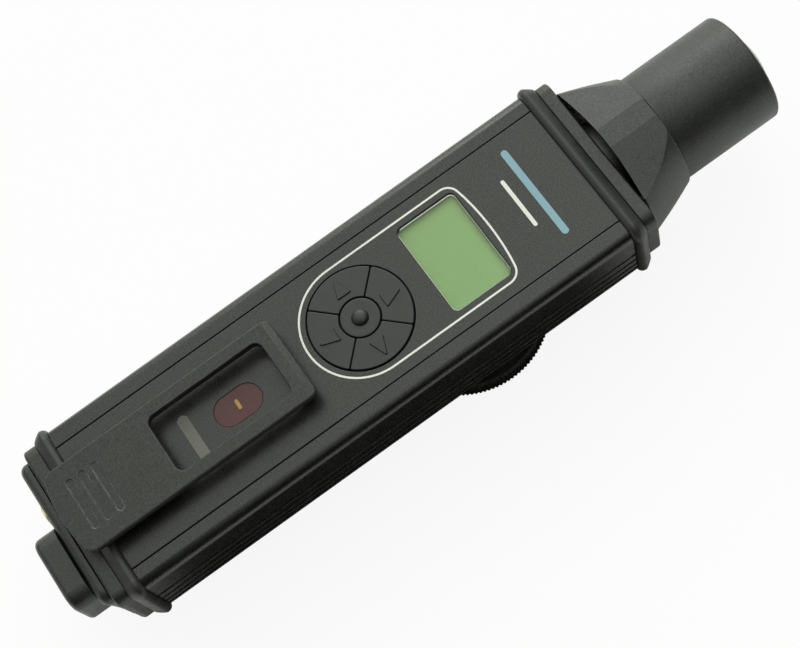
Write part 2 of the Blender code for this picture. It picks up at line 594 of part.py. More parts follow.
piece("detector_dome", lathe("Y", AXIS, dome_profile(), 44), DOME)
piece("head_seal", lathe("Y", AXIS, [(13.0, TUBE_Y1 - 7.0), (14.2, TUBE_Y1 - 7.0),
                                     (14.2, TUBE_Y1 - 5.4), (13.0, TUBE_Y1 - 5.4)], 28), RUBBER)
piece("scintillator", lathe("Y", AXIS, [(0, 71.0), (11.6, 71.0), (12.6, 72.0), (12.6, 101.5),
                                        (11.6, 102.5), (0, 102.5)], 28), CRYSTAL)
piece("photodiode", lathe("Y", AXIS, [(0, 68.4), (9.0, 68.4), (9.0, 70.6), (0, 70.6)], 32),
      BLACK_PART)
piece("preamp_board", rod("Y", 66.4, 68.0, 13.6, 28, AXIS), BOARD)

# ---- bottom end cap ---------------------------------------------------------
BATTERY_R = 7.1
BATTERY = (-9.6, AXIS_Z - 1.6)         # battery axis, x and z
BATTERY_BORE_R = BATTERY_R + 0.5
LATCH_X, LATCH_Z = 8.5, AXIS_Z + 1.9
LATCH = (LATCH_X, LATCH_Z)

bottom_cap = end_cap("bottom_end_cap", BOTTOM_CAP_Y1, BOTTOM_CAP_Y0, side=-1)
join(bottom_cap, "bottom_spigot", prism("Y", BOTTOM_CAP_Y1 - 1.0, CASE_Y0 + SPIGOT_L, SPIGOT))
cut(bottom_cap, "battery_bore",
    rod("Y", BOTTOM_CAP_Y0 - 1, CASE_Y0 + 6, BATTERY_BORE_R, 24, BATTERY))
cut(bottom_cap, "latch_bore", rod("Y", BOTTOM_CAP_Y0 - 1, CASE_Y0 + 6, 3.4, 24, LATCH))
fit_cap_screws(bottom_cap, "bottom", BOTTOM_CAP_Y1, BOTTOM_CAP_Y0, side=-1)

# ---- battery cover, contact screw and latch ---------------------------------
COVER_HALF_W, COVER_HALF_D, COVER_R = 25.5, 13.3, 3.6
COVER_Y0, COVER_Y1 = -137.3, BOTTOM_CAP_Y0 - GAP
CONTACT_X, CONTACT_Z = -10.2, AXIS_Z + 4.0
CONTACT = (CONTACT_X, CONTACT_Z)
LATCH_Y0, LATCH_Y1 = -145.3, COVER_Y0 - GAP
LATCH_HALF_W, LATCH_HALF_D, LATCH_R = 12.8, 10.8, 5.5

cover = piece("battery_cover", rect_stack(COVER_HALF_W, COVER_HALF_D, 5, [
    (COVER_Y0, 1.6, 2.2), (COVER_Y0 + 0.5, 0.5, 3.2),
    (COVER_Y0 + 1.6, 0.0, COVER_R), (COVER_Y1, 0.0, COVER_R)]), CAP, (0, COVER_Y1, AXIS_Z))
cut(cover, "cover_bore", rod("Y", COVER_Y0 - 1, COVER_Y1 + 1, 3.0, 24, LATCH))
cut(cover, "contact_bore", rod("Y", COVER_Y0 - 1, COVER_Y1 + 1, 2.2, 20, CONTACT))

# brass contact screw through the cover, with a low slotted head beside the latch
contact = piece("contact_screw", lathe("Y", CONTACT, [
    (0, COVER_Y0 - 1.3), (3.6, COVER_Y0 - 1.3), (4.0, COVER_Y0 - 0.9), (4.0, COVER_Y0 - 0.3),
    (1.8, COVER_Y0 - 0.3), (1.8, COVER_Y1 - 0.2), (0, COVER_Y1 - 0.2)], 24), BRASS)
cut(contact, "coin_slot", box((CONTACT_X - 6, COVER_Y0 - 3, CONTACT_Z - 0.6),
                              (CONTACT_X + 6, COVER_Y0 - 0.8, CONTACT_Z + 0.6)))

# latch knob under the cover; its shank runs through into the bottom cap
latch = piece("cover_latch", rect_stack(LATCH_HALF_W, LATCH_HALF_D, 6, [
    (LATCH_Y0, 2.0, 3.6), (LATCH_Y0 + 0.6, 0.6, 4.9), (LATCH_Y0 + 2.0, 0.0, LATCH_R),
    (LATCH_Y1 - 0.3, 0.0, LATCH_R), (LATCH_Y1, 0.3, 5.2)], *LATCH),
    CAP, (LATCH_X, LATCH_Y1, LATCH_Z))
join(latch, "latch_shank", rod("Y", LATCH_Y1 - 2, BOTTOM_CAP_Y0 + 3.5, 2.6, 24, LATCH))

# ---- battery ----------------------------------------------------------------
BATTERY_Y0, BATTERY_Y1 = -128.6, -79.5   # without the raised end
TUBE_END_Y0, TUBE_END_Y1 = CASE_Y0 + 5, -76.0
TUBE_OUTER_R = BATTERY_R + 1.3

piece("battery", lathe("Y", BATTERY, [
    (0, BATTERY_Y0), (0.9, BATTERY_Y0), (BATTERY_R - 0.4, BATTERY_Y0),
    (BATTERY_R, BATTERY_Y0 + 0.4), (BATTERY_R, BATTERY_Y1 - 0.5), (BATTERY_R - 0.5, BATTERY_Y1),
    (2.7, BATTERY_Y1), (2.7, BATTERY_Y1 + 1.5), (0, BATTERY_Y1 + 1.5)], 24), CELL)
piece("battery_tube", lathe("Y", BATTERY, [
    (BATTERY_BORE_R, TUBE_END_Y0), (TUBE_OUTER_R, TUBE_END_Y0),
    (TUBE_OUTER_R, TUBE_END_Y1), (BATTERY_BORE_R, TUBE_END_Y1)], 24), BLACK_PART)


def battery_spring_path():
    """Three turns that narrow towards the battery."""
    turns, steps = 3, 10
    path = []
    for i in range(turns * steps + 1):
        a = 2 * math.pi * i / steps
        part = i / (turns * steps)
        radius = 4.6 - 1.2 * part
        path.append((BATTERY[0] + radius * math.cos(a), -132.9 + 3.6 * part,
                     BATTERY[1] + radius * math.sin(a)))
    return path


piece("battery_spring", coil(battery_spring_path(), wire_r=0.35), STEEL)
piece("battery_contact", rod("Y", -77.6, -77.1, 5.6, 24, BATTERY), BRASS)

# ---- electronics in the case ------------------------------------------------
piece("main_board", box((-20.4, -118.5, FRONT_Z - 7.1), (20.4, 43.0, FRONT_Z - 5.6)), BOARD)
piece("buzzer", lathe("Z", (11.0, -100.0), [
    (0, FRONT_Z - 11.0), (5.4, FRONT_Z - 11.0), (6.0, FRONT_Z - 10.4), (6.0, FRONT_Z - 7.5),
    (1.2, FRONT_Z - 7.5), (1.2, FRONT_Z - 9.0), (0, FRONT_Z - 9.0)], 28), BLACK_PART)
piece("vibration_motor", rod("Y", -86.0, -72.0, 3.0, 20, (11.0, FRONT_Z - 10.9)), STEEL)

# flexible cable from the preamp board down to the main board
CABLE_HALF_W, CABLE_HALF_T = 4.0, 0.1
CABLE = [(65.9, 3.0), (60.0, 4.0), (52.0, 3.6),      # y, z from the case axis
         (45.0, 4.4), (41.0, 5.4), (36.0, 6.4)]
cable_section = [(y, AXIS_Z + z - CABLE_HALF_T) for y, z in CABLE]
cable_section += [(y, AXIS_Z + z + CABLE_HALF_T) for y, z in reversed(CABLE)]
piece("flex_cable", prism("X", -CABLE_HALF_W, CABLE_HALF_W, cable_section), BRASS)

# ---- rear detector: boss, tube, seal, cover ---------------------------------
BOSS_R, BOSS_NECK_R = 25.6, 24.4
BOSS_INNER_R = 21.0
BOSS_Z1, BOSS_SHOULDER_Z, BOSS_Z0 = BACK_Z - GAP, 8.5, 4.0
REAR_R, REAR_T = 28.0, 8.2             # knurled cover
TEETH, TOOTH_DEPTH = 64, 0.55

boss = piece("rear_boss", lathe("Z", (0, 0), [
    (BOSS_R, BOSS_Z1), (REAR_BORE_R, BOSS_Z1), (REAR_BORE_R, 13.0), (BOSS_INNER_R, 13.0),
    (BOSS_INNER_R, BOSS_Z0), (BOSS_NECK_R, BOSS_Z0), (BOSS_NECK_R, BOSS_SHOULDER_Z),
    (BOSS_R, BOSS_SHOULDER_Z)], 48), CAP)
piece("gm_tube", lathe("Z", (0, 0), [(0, 13.4), (20.0, 13.4), (20.6, 14.0), (22.2, 14.0),
                                     (22.2, 21.0), (0, 21.0)], 32), STEEL)
piece("rear_seal", lathe("Z", (0, 0), [
    (22.7, BOSS_Z1 + 0.04), (22.95, BOSS_Z1 + 0.04),
    (22.95, BACK_Z - 0.04), (22.7, BACK_Z - 0.04)], 32), RUBBER)
piece("filter_disc", lathe("Z", (0, 0), [(0, 2.6), (20.4, 2.6), (20.4, 3.6), (0, 3.6)], 32),
      STEEL)


def knurl():
    """Tooth tips and roots, alternating around the cover."""
    points = []
    for i in range(TEETH):
        tip = 2 * math.pi * i / TEETH
        root = tip + math.pi / TEETH
        root_r = REAR_R - TOOTH_DEPTH
        points.append((REAR_R * math.cos(tip), REAR_R * math.sin(tip)))
        points.append((root_r * math.cos(root), root_r * math.sin(root)))
    return points


rear_cap = piece("rear_cap", stack("Z", [
    (0.0, [circle(REAR_R - 1.5, 2 * TEETH)]), (0.9, [knurl()]), (REAR_T - 0.6, [knurl()]),
    (REAR_T, [circle(REAR_R - 0.8, 2 * TEETH)])]), CAP)
cut(rear_cap, "rear_recess", lathe("Z", (0, 0), [
    (0, 2.2), (24.8, 2.2), (24.8, REAR_T + 2), (0, REAR_T + 2)], 48))

# rear boss screws, from inside the case
head_z0 = BACK_Z + WALL + 0.3
head_z1 = BACK_Z + WALL + 1.5
for k, centre in enumerate(REAR_SCREWS, 1):
    piece(f"rear_screw_{k}", lathe("Z", centre, [
        (0, head_z0), (0, head_z1), (1.9, head_z1), (1.9, head_z0),
        (0.8, head_z0), (0.8, 12.5), (0, 12.5)], 10), STEEL)
    cut(boss, f"boss_hole_{k}", rod("Z", 11.5, BOSS_Z1 + 2, REAR_SCREW_HOLE_R, 10, centre))
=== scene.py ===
# Looks of a handheld radiation survey meter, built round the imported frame.
# It lies on its back on the floor (z = 0): face up (+Z), detector head at +Y, battery lid
# at -Y, width along X. "Upper" and "lower" mean +Y and -Y, "front" and "back" +Z and -Z.
# Solids are built in millimetres; solid_object() turns them to metres.
from collections import namedtuple
from math import acos, asin, atan2, cos, pi, radians, sin, sqrt, tan

import bmesh
import bpy
from mathutils import Matrix, Vector
from mathutils.geometry import tessellate_polygon

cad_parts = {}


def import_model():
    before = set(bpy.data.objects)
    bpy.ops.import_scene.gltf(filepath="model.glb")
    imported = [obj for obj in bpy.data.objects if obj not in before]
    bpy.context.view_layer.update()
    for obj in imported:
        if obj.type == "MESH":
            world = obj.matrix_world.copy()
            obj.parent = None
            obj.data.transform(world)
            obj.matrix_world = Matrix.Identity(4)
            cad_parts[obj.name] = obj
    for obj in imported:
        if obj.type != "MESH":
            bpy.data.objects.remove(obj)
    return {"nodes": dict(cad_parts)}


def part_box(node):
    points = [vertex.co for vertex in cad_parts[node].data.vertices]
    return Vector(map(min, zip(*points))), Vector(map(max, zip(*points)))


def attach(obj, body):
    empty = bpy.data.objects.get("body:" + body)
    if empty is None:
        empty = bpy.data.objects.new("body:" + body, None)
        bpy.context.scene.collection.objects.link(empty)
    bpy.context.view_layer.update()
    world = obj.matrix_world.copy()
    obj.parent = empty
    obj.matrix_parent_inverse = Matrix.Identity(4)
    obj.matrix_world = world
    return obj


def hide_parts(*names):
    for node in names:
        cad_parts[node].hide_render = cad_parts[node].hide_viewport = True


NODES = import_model()["nodes"]
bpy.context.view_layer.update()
MM = 0.001
Span = namedtuple("Span", "x0 y0 z0 x1 y1 z1")


def span(node):
    low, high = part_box(node)
    return Span(*(c / MM for c in (*low, *high)))


# ---- places read from the frame ---------------------------------------------
# HW, HH and HD are half a width (X), half a length (Y) and half a depth (Z).
shell = span("body_shell")
CASE_HW, CASE_HD = shell.x1, (shell.z1 - shell.z0) / 2
CASE_Y0, CASE_Y1 = shell.y0, shell.y1
AXIS_Z = (shell.z1 + shell.z0) / 2
BACK = AXIS_Z - CASE_HD
panel = span("front_panel")
FACE, PANEL_HW, PANEL_T = panel.z1, panel.x1, panel.z1 - panel.z0
PANEL_Y, PANEL_HH = (panel.y0 + panel.y1) / 2, (panel.y1 - panel.y0) / 2
keypad = span("keypad_mat")
KEY_Y = (keypad.y0 + keypad.y1) / 2
button = span("button_centre")
NUB_TOP, KEY_BOTTOM = button.z1, button.z0
KEY_TOP = NUB_TOP - 1.3
port = span("ir_window")
IR_Y = (port.y0 + port.y1) / 2
lcd = span("lcd_window")
LCD_Y = (lcd.y0 + lcd.y1) / 2
clip = span("belt_clip")
CLIP_TOP, CLIP_HW, CLIP_Y0, CLIP_Y1 = clip.z1, clip.x1, clip.y0, clip.y1
pin = span("clip_pin")
PIN_Y, PIN_Z = (pin.y0 + pin.y1) / 2, (pin.z0 + pin.z1) / 2
upper_bumper, lower_bumper = span("top_bumper"), span("bottom_bumper")
BUMPER_HW = upper_bumper.x1
tube = span("detector_tube")
TUBE_R, TUBE_Y1 = tube.x1, tube.y1
collar = span("detector_collar")
COLLAR_Y0, COLLAR_Y1 = collar.y0, collar.y1
lid = span("battery_cover")
LID_Y0, LID_Y1, LID_HW, LID_HD = lid.y0, lid.y1, lid.x1, (lid.z1 - lid.z0) / 2
latch = span("cover_latch")
LATCH_X, LATCH_Z = (latch.x0 + latch.x1) / 2, (latch.z0 + latch.z1) / 2
LATCH_HW, LATCH_HD = (latch.x1 - latch.x0) / 2, (latch.z1 - latch.z0) / 2
rear = span("rear_cap")
REAR_R, REAR_T = rear.x1, rear.z1

GAP = 0.3           # joint between neighbouring parts
CASE_CORNER = 3.4
SCREWS = [(x, AXIS_Z + z) for x, z in ((-24.0, -9.4), (24.0, -9.4), (24.0, 8.0), (-24.0, 8.0))]


# ---- shader graphs ----------------------------------------------------------
class Graph:
    """A shader tree; inputs take numbers, tuples or output sockets."""

    def __init__(self, owner, output):
        owner.use_nodes = True
        self.tree = owner.node_tree
        self.tree.nodes.clear()
        self.end = self.add(output)

    def add(self, kind, inputs=None, **settings):
        node = self.tree.nodes.new("ShaderNode" + kind)
        for name, value in settings.items():
            setattr(node, name, value)
        self.feed(node, inputs or {})
        return node

    def feed(self, node, inputs):
        for key, value in inputs.items():
            if isinstance(value, bpy.types.NodeSocket):
                self.tree.links.new(value, node.inputs[key])
            else:
                node.inputs[key].default_value = value

    def noise(self, where, size, detail=2.0, rough=0.5, distort=0.0):
        """Noise with features of about `size` millimetres."""
        return self.add("TexNoise", {
            "Scale": 1000.0 / size, "Detail": detail, "Roughness": rough,
            "Distortion": distort, "Vector": where}).outputs["Fac"]

    def math(self, operation, a, b, clamp=False):
        return self.add("Math", {0: a, 1: b}, operation=operation, use_clamp=clamp).outputs[0]

    def vector(self, operation, a, b=(0.0, 0.0, 0.0)):
        node = self.add("VectorMath", {0: a, 1: b}, operation=operation)
        return node.outputs["Value" if operation in ("DOT_PRODUCT", "LENGTH") else 0]

    def remap(self, value, span, to, smooth=False):
        return self.add("MapRange", {
            "From Min": span[0], "From Max": span[1], "To Min": to[0], "To Max": to[1],
            "Value": value}, interpolation_type="SMOOTHSTEP" if smooth else "LINEAR",
        ).outputs["Result"]

    def mix(self, factor, a, b):
        """Blend two colours, each a socket or (r, g, b)."""
        a, b = ((*c, 1.0) if isinstance(c, tuple) else c for c in (a, b))
        return self.add("Mix", {0: factor, 6: a, 7: b},
                        data_type="RGBA", clamp_factor=True).outputs[2]

    def mix_shader(self, factor, a, b):
        return self.add("MixShader", {0: factor, 1: a.outputs[0], 2: b.outputs[0]})


def principled(name, rgb):
    """A material with one Principled surface; also returns its object coordinates."""
    material = bpy.data.materials.new(name)
    material.diffuse_color = (*rgb, 1.0)
    graph = Graph(material, "OutputMaterial")
    surface = graph.add("BsdfPrincipled")
    graph.feed(graph.end, {0: surface.outputs[0]})
    return material, graph, surface, graph.add("TexCoord").outputs["Object"]


# ---- materials --------------------------------------------------------------
MID = (0.3, 0.7)            # the part of a noise that is stretched to full range
ROUGH_GRAIN_DEPTH = 0.04    # from this bump depth the grain also breaks up the sheen


def worn_and_highlit_edges(graph, mid, colour, edge, amount):
    """A thin, patchy line along the edges: worn paint on most materials, and a painted highlight
    where it is made bright, as on the clip.
    """
    geometry = graph.add("NewGeometry")
    bevel = graph.add("Bevel", {"Radius": 0.38 * MM}, samples=5)
    bend = graph.vector("DOT_PRODUCT", bevel.outputs["Normal"], geometry.outputs["Normal"])
    line = graph.remap(bend, span=(0.90, 0.995), to=(1.0, 0.0))
    chips = graph.remap(mid, span=(0.42, 0.62), to=(0.25, 1.0))
    wear_and_highlight = graph.math("MULTIPLY", graph.math("MULTIPLY", line, chips), amount, clamp=True)
    return graph.mix(wear_and_highlight, colour, edge)


def moulded(name, rgb, shine, grain, wear_and_highlight=None, metal=0.0, coat=0.0):
    """A solid surface with a fine grain, slow colour drift and an edge line of wear and painted
    highlight.

    shine: roughness, its spread, specular level
    grain: size mm, bump strength, bump depth mm, colour spread
    wear_and_highlight: colour of the edge line, how strongly it shows; rubbed paint, and a painted
    highlight where the colour is bright
    """
    rough, rough_spread, specular = shine
    size, bump, depth, spread = grain
    material, graph, surface, where = principled(name, rgb)
    fine = graph.noise(where, size=size, detail=3.0, rough=0.6)
    mid = graph.noise(where, size=size * 9.0, detail=3.0, rough=0.55, distort=0.3)
    slow = graph.noise(where, size=42.0)
    drift = graph.math("ADD", graph.remap(slow, span=MID, to=(-0.5, 0.5)),
                       graph.remap(mid, span=MID, to=(-0.3, 0.3)))
    drift = graph.math("ADD", drift, graph.remap(fine, span=MID, to=(-0.6, 0.6)))
    shade = graph.remap(drift, span=(-1.0, 1.0), to=(0.0, 1.0))
    colour = graph.mix(shade, tuple(c * (1.0 - spread) for c in rgb),
                       tuple(c * (1.0 + spread) for c in rgb))
    if wear_and_highlight:
        colour = worn_and_highlit_edges(graph, mid, colour, *wear_and_highlight)
    roughness = graph.math(
        "ADD", graph.remap(mid, span=MID, to=(rough - rough_spread, rough + rough_spread)),
        graph.remap(fine, span=MID, to=(-rough_spread * 0.5, rough_spread * 0.5)), clamp=True)
    if depth >= ROUGH_GRAIN_DEPTH:
        specular = graph.remap(fine, span=(0.32, 0.68), to=(specular * 0.74, specular * 1.26))
    relief = graph.add("Bump", {"Strength": bump, "Distance": depth * MM})
    height = graph.math("ADD", fine, graph.math("MULTIPLY", mid, 0.25))
    graph.feed(relief, {"Height": height})
    graph.feed(surface, {
        "Base Color": colour, "Roughness": roughness, "Specular IOR Level": specular,
        "IOR": 1.5, "Metallic": metal, "Coat Weight": coat, "Coat Roughness": 0.25,
        "Normal": relief.outputs["Normal"]})
    return material


def clear_window():
    """A nearly clear, slightly smeared pane."""
    rgb, alpha, rough = (0.55, 0.60, 0.52), 0.06, 0.06
    material, graph, surface, where = principled("clear_window", rgb)
    smear = graph.noise(where, size=7.0, detail=4.0, rough=0.6, distort=0.8)
    fine = graph.noise(where, size=0.8, rough=0.6)
    colour = graph.mix(smear, tuple(c * 0.9 for c in rgb), rgb)
    roughness = graph.remap(smear, span=(0.35, 0.75), to=(rough, rough + 0.14))
    # painted glow: the polished edges facing +X and -Y are made more opaque and emissive, standing
    # in for light that enters the pane and leaves through those edges
    normal = graph.add("NewGeometry").outputs["Normal"]
    facing = graph.vector("DOT_PRODUCT", normal, (0.62, -0.78, 0.0))
    glow = graph.remap(facing, span=(0.22, 0.50), to=(0.0, 1.0))
    film = graph.remap(fine, span=(0.3, 0.75), to=(alpha * 0.8, alpha * 1.3))
    graph.feed(surface, {
        "Base Color": colour, "Roughness": roughness,
        "Alpha": graph.math("ADD", film, graph.math("MULTIPLY", glow, 0.9), clamp=True),
        "Emission Color": (0.93, 1.0, 0.86, 1.0),
        "Emission Strength": graph.math("MULTIPLY", glow, 0.45),
        "Specular IOR Level": 0.5})
    return material


def lcd_layer():
    """Reflective liquid-crystal layer: fine mottled green, darker at three rims."""
    material, graph, surface, where = principled("lcd_layer", (0.26, 0.43, 0.17))
    x, y, _ = graph.add("SeparateXYZ", {0: where}).outputs
    fine = graph.noise(where, size=0.55, detail=3.0, rough=0.65)
    slow = graph.noise(where, size=14.0)
    # closeness to the -X, +Y and +X rims, where the frame shades the layer
    left = graph.remap(x, span=(-0.0162, -0.0128), to=(1.0, 0.0))
    top = graph.remap(y, span=((LCD_Y + 10.6) * MM, (LCD_Y + 7.2) * MM), to=(1.0, 0.0))
    right = graph.remap(x, span=(0.0162, 0.0146), to=(0.6, 0.0))
    rim = graph.math("MAXIMUM", graph.math("MAXIMUM", left, top), right)
    rim = graph.math("MULTIPLY", rim, rim, clamp=True)
    green = graph.mix(slow, (0.172, 0.336, 0.102), (0.203, 0.352, 0.111))
    green = graph.mix(graph.math("MULTIPLY", fine, 0.35), green, (0.32, 0.47, 0.235))
    colour = graph.mix(graph.math("MULTIPLY", rim, 0.62), green, (0.075, 0.082, 0.030))
    # the faint emission (strength 0.04) is a painted glow; the reflective layer gives off no light
    # of its own
    graph.feed(surface, {
        "Base Color": colour, "Roughness": graph.remap(fine, span=MID, to=(0.45, 0.62)),
        "Specular IOR Level": 0.25, "Emission Color": colour, "Emission Strength": 0.04})
    return material


# columns: name, colour, then shine, grain and edge wear and highlight as moulded() describes them
MATERIALS = {
    "case": moulded("case_coat", (0.0080, 0.0087, 0.0075), (0.27, 0.025, 0.50),
                    (0.50, 0.50, 0.040, 0.32), ((0.10, 0.105, 0.10), 0.30)),
    "panel": moulded("panel_coat", (0.0095, 0.0104, 0.0088), (0.30, 0.03, 0.50),
                     (0.50, 0.50, 0.040, 0.32), ((0.10, 0.105, 0.10), 0.30)),
    "cap": moulded("cap_plastic", (0.0140, 0.0148, 0.0130), (0.42, 0.05, 0.48),
                   (0.54, 0.50, 0.045, 0.30), ((0.09, 0.09, 0.085), 0.30)),
    # the clip's bright edge line (0.26 at 0.9) is a painted highlight along its edges
    "clip": moulded("clip_plastic", (0.0135, 0.0142, 0.0125), (0.40, 0.05, 0.44),
                    (0.54, 0.50, 0.045, 0.30), ((0.26, 0.275, 0.28), 0.90)),
    "rubber": moulded("bumper_rubber", (0.0150, 0.0155, 0.0142), (0.46, 0.06, 0.48),
                      (0.35, 0.35, 0.02, 0.22), ((0.07, 0.07, 0.068), 0.30)),
    "key": moulded("key_rubber", (0.0125, 0.0135, 0.0118), (0.42, 0.06, 0.48),
                   (0.35, 0.35, 0.018, 0.22), ((0.08, 0.08, 0.075), 0.25)),
    "head": moulded("head_coat", (0.0180, 0.0194, 0.0186), (0.46, 0.03, 0.54),
                    (0.52, 0.55, 0.045, 0.34), ((0.13, 0.135, 0.13), 0.60)),
    "dome": moulded("dome_plastic", (0.17, 0.215, 0.175), (0.36, 0.06, 0.45),
                    (0.6, 0.15, 0.015, 0.08), ((0.3, 0.35, 0.3), 0.2)),
    "red": moulded("ir_acrylic", (0.060, 0.0110, 0.0120), (0.30, 0.06, 0.42),
                   (1.2, 0.10, 0.01, 0.30), ((0.1, 0.03, 0.035), 0.2)),
    "label": moulded("label_foil", (0.125, 0.125, 0.105), (0.46, 0.07, 0.4),
                     (0.4, 0.12, 0.01, 0.14), ((0.25, 0.25, 0.22), 0.3)),
    "ink_white": moulded("ink_white", (0.74, 0.755, 0.70), (0.55, 0.05, 0.4),
                         (0.3, 0.10, 0.008, 0.08)),
    "ink_blue": moulded("ink_blue", (0.22, 0.38, 0.45), (0.55, 0.05, 0.4),
                        (0.3, 0.10, 0.008, 0.10)),
    "ink_amber": moulded("ink_amber", (0.42, 0.24, 0.06), (0.50, 0.05, 0.4),
                         (0.3, 0.10, 0.008, 0.10)),
    "steel": moulded("steel_plated", (0.50, 0.50, 0.51), (0.30, 0.08, 0.5),
                     (0.5, 0.15, 0.01, 0.10), ((0.7, 0.7, 0.7), 0.3), metal=1.0),
    "black_screw": moulded("screw_black_oxide", (0.055, 0.055, 0.058), (0.38, 0.08, 0.5),
                           (0.4, 0.20, 0.01, 0.20), ((0.30, 0.29, 0.28), 0.6), metal=0.8),
    "brass": moulded("brass_turned", (0.80, 0.72, 0.44), (0.32, 0.10, 0.5),
                     (0.5, 0.15, 0.01, 0.14), ((0.75, 0.62, 0.35), 0.3), metal=1.0),
    "board": moulded("board_mask", (0.022, 0.120, 0.050), (0.42, 0.10, 0.5),
                     (1.4, 0.15, 0.02, 0.20), ((0.30, 0.28, 0.14), 0.2)),
    "crystal": moulded("crystal_wrap", (0.72, 0.74, 0.68), (0.30, 0.10, 0.5),
                       (1.0, 0.15, 0.03, 0.06), ((0.8, 0.8, 0.78), 0.2)),
    "black_part": moulded("part_black", (0.018, 0.018, 0.018), (0.45, 0.08, 0.5),
                          (0.6, 0.25, 0.02, 0.22), ((0.10, 0.10, 0.10), 0.3)),
    "cell": moulded("cell_sleeve", (0.30, 0.28, 0.24), (0.35, 0.08, 0.5),
                    (0.8, 0.10, 0.01, 0.10), ((0.5, 0.48, 0.42), 0.2), coat=0.3),
    "flex": moulded("flex_film", (0.42, 0.21, 0.05), (0.30, 0.08, 0.5),
                    (0.8, 0.10, 0.01, 0.12), ((0.5, 0.3, 0.1), 0.1)),
    "clear": clear_window(),
    "lcd": lcd_layer(),
}


# ---- outlines: anticlockwise lists of points --------------------------------
def fillet(corners, steps):
    """Round the corners of a path of (x, y, radius)."""
    path = []
    for i, (x, y, radius) in enumerate(corners):
        if radius <= 0:
            path.append((x, y))
            continue
        corner = Vector((x, y))
        before = Vector(corners[i - 1][:2]) - corner
        after = Vector(corners[(i + 1) % len(corners)][:2]) - corner
        u, v = before.normalized(), after.normalized()
        angle = acos(max(-1.0, min(1.0, u.dot(v))))
        if angle > pi - 0.02:
            path.append((x, y))
            continue
        reach = min(radius / tan(angle / 2), before.length * 0.96, after.length * 0.96)
        fitted = reach * tan(angle / 2)
        centre = corner + (u + v).normalized() * (fitted / sin(angle / 2))
        start, end = corner + u * reach - centre, corner + v * reach - centre
        first = atan2(start.y, start.x)
        sweep = (atan2(end.y, end.x) - first + pi) % (2 * pi) - pi
        count = max(2, int(steps * abs(sweep) / (pi / 2) + 0.5))
        for k in range(count + 1):
            turn = first + sweep * k / count
            path.append((centre.x + fitted * cos(turn), centre.y + fitted * sin(turn)))
    return path


def mirrored(points):
    """The points reflected to the other side of x = 0, in reverse order."""
    return [(-x, *rest) for x, *rest in reversed(points)]


def round_rect(hw, hh, radius, steps, x=0.0, y=0.0, last_radius=None):
    """Rounded rectangle; last_radius, if given, is for the two corners at -y."""
    points = []
    for k, (side_x, side_y) in enumerate(((1, 1), (-1, 1), (-1, -1), (1, -1))):
        r = last_radius if last_radius and side_y < 0 else radius
        for i in range(steps + 1):
            a = pi / 2 * (k + i / steps)
            points.append((x + side_x * (hw - r) + r * cos(a), y + side_y * (hh - r) + r * sin(a)))
    return points


def circle(radius, steps, x=0.0, y=0.0):
    return [(x + radius * cos(2 * pi * i / steps), y + radius * sin(2 * pi * i / steps))
            for i in range(steps)]


def oval(hw, hh, y, steps=24):
    """Upright slot with half-round ends, centred on x = 0."""
    return [(hw * cos(start + pi * i / steps),
             y + end * (hh - hw) + hw * sin(start + pi * i / steps))
            for end, start in ((1, 0.0), (-1, pi)) for i in range(steps + 1)]


def inset(loop, depth):
    """Move every point of an anticlockwise loop inwards (outwards if negative)."""
    if abs(depth) < 1e-9:
        return list(loop)
    moved = []
    for i, point in enumerate(loop):
        here = Vector(point)
        arrive = here - Vector(loop[i - 1])
        leave = Vector(loop[(i + 1) % len(loop)]) - here
        if arrive.length < 1e-7:
            arrive = leave
        if leave.length < 1e-7:
            leave = arrive
        arrive, leave = arrive.normalized(), leave.normalized()
        normal = Vector((arrive.y, -arrive.x))
        outward = normal + Vector((leave.y, -leave.x))
        if outward.length < 1e-6:
            moved.append((here.x, here.y))
            continue
        outward.normalize()
        stretch = 1.0 / max(outward.dot(normal), 0.4)
        moved.append((here.x - outward.x * depth * stretch, here.y - outward.y * depth * stretch))
    return moved


def quarter(steps):
    """Angles of a quarter turn, without its start."""
    return [pi / 2 * k / steps for k in range(1, steps + 1)]


# ---- solids: each returns a new bmesh ---------------------------------------
def place(axis, height, p, q):
    if axis == "Y":
        return (p, height, q)
    if axis == "Z":
        return (p, q, height)
    return (height, p, q)


def bridge(bm, ring, other):
    for i in range(len(ring)):
        j = (i + 1) % len(ring)
        bm.faces.new((ring[i], ring[j], other[j], other[i]))


def close_end(bm, rings, loops):
    """Fill between an outer ring and the rings of its holes."""
    verts = [v for ring in rings for v in ring]
    for triangle in tessellate_polygon([[Vector((p, q, 0)) for p, q in lp] for lp in loops]):
        try:
            bm.faces.new([verts[i] for i in triangle])
        except ValueError:
            # a triangle that repeats a face or a vertex is left out
            pass


def stack(axis, levels, shift=None):
    """A closed solid through levels of (height, matching loops)."""
    bm = bmesh.new()
    rows = []
    for height, loops in levels:
        row = []
        for loop in loops:
            points = [place(axis, height, p, q) for p, q in loop]
            row.append([bm.verts.new(shift(co) if shift else co) for co in points])
        rows.append(row)
    for row, following in zip(rows, rows[1:]):
        for ring, other in zip(row, following):
            bridge(bm, ring, other)
    for row, (_, loops) in ((rows[0], levels[0]), (rows[-1], levels[-1])):
        if len(loops) == 1:
            bm.faces.new(row[0])
        else:
            close_end(bm, row, loops)
    return bm


def bar(axis, start, end, *loops):
    """A plain extrusion of an outline and its holes."""
    return stack(axis, [(start, loops), (end, loops)])


def rod(axis, start, end, radius, steps, p=0.0, q=0.0):
    return bar(axis, start, end, circle(radius, steps, p, q))


def edge_inset(height, start, end, r_start, r_end):
    """How far rounded end edges draw the outline in at a height."""
    if r_start > 0 and height < start + r_start:
        rise = r_start - (height - start)
        return r_start - sqrt(max(r_start * r_start - rise * rise, 0.0))
    if r_end > 0 and height > end - r_end:
        rise = r_end - (end - height)
        return r_end - sqrt(max(r_end * r_end - rise * rise, 0.0))
    return 0.0


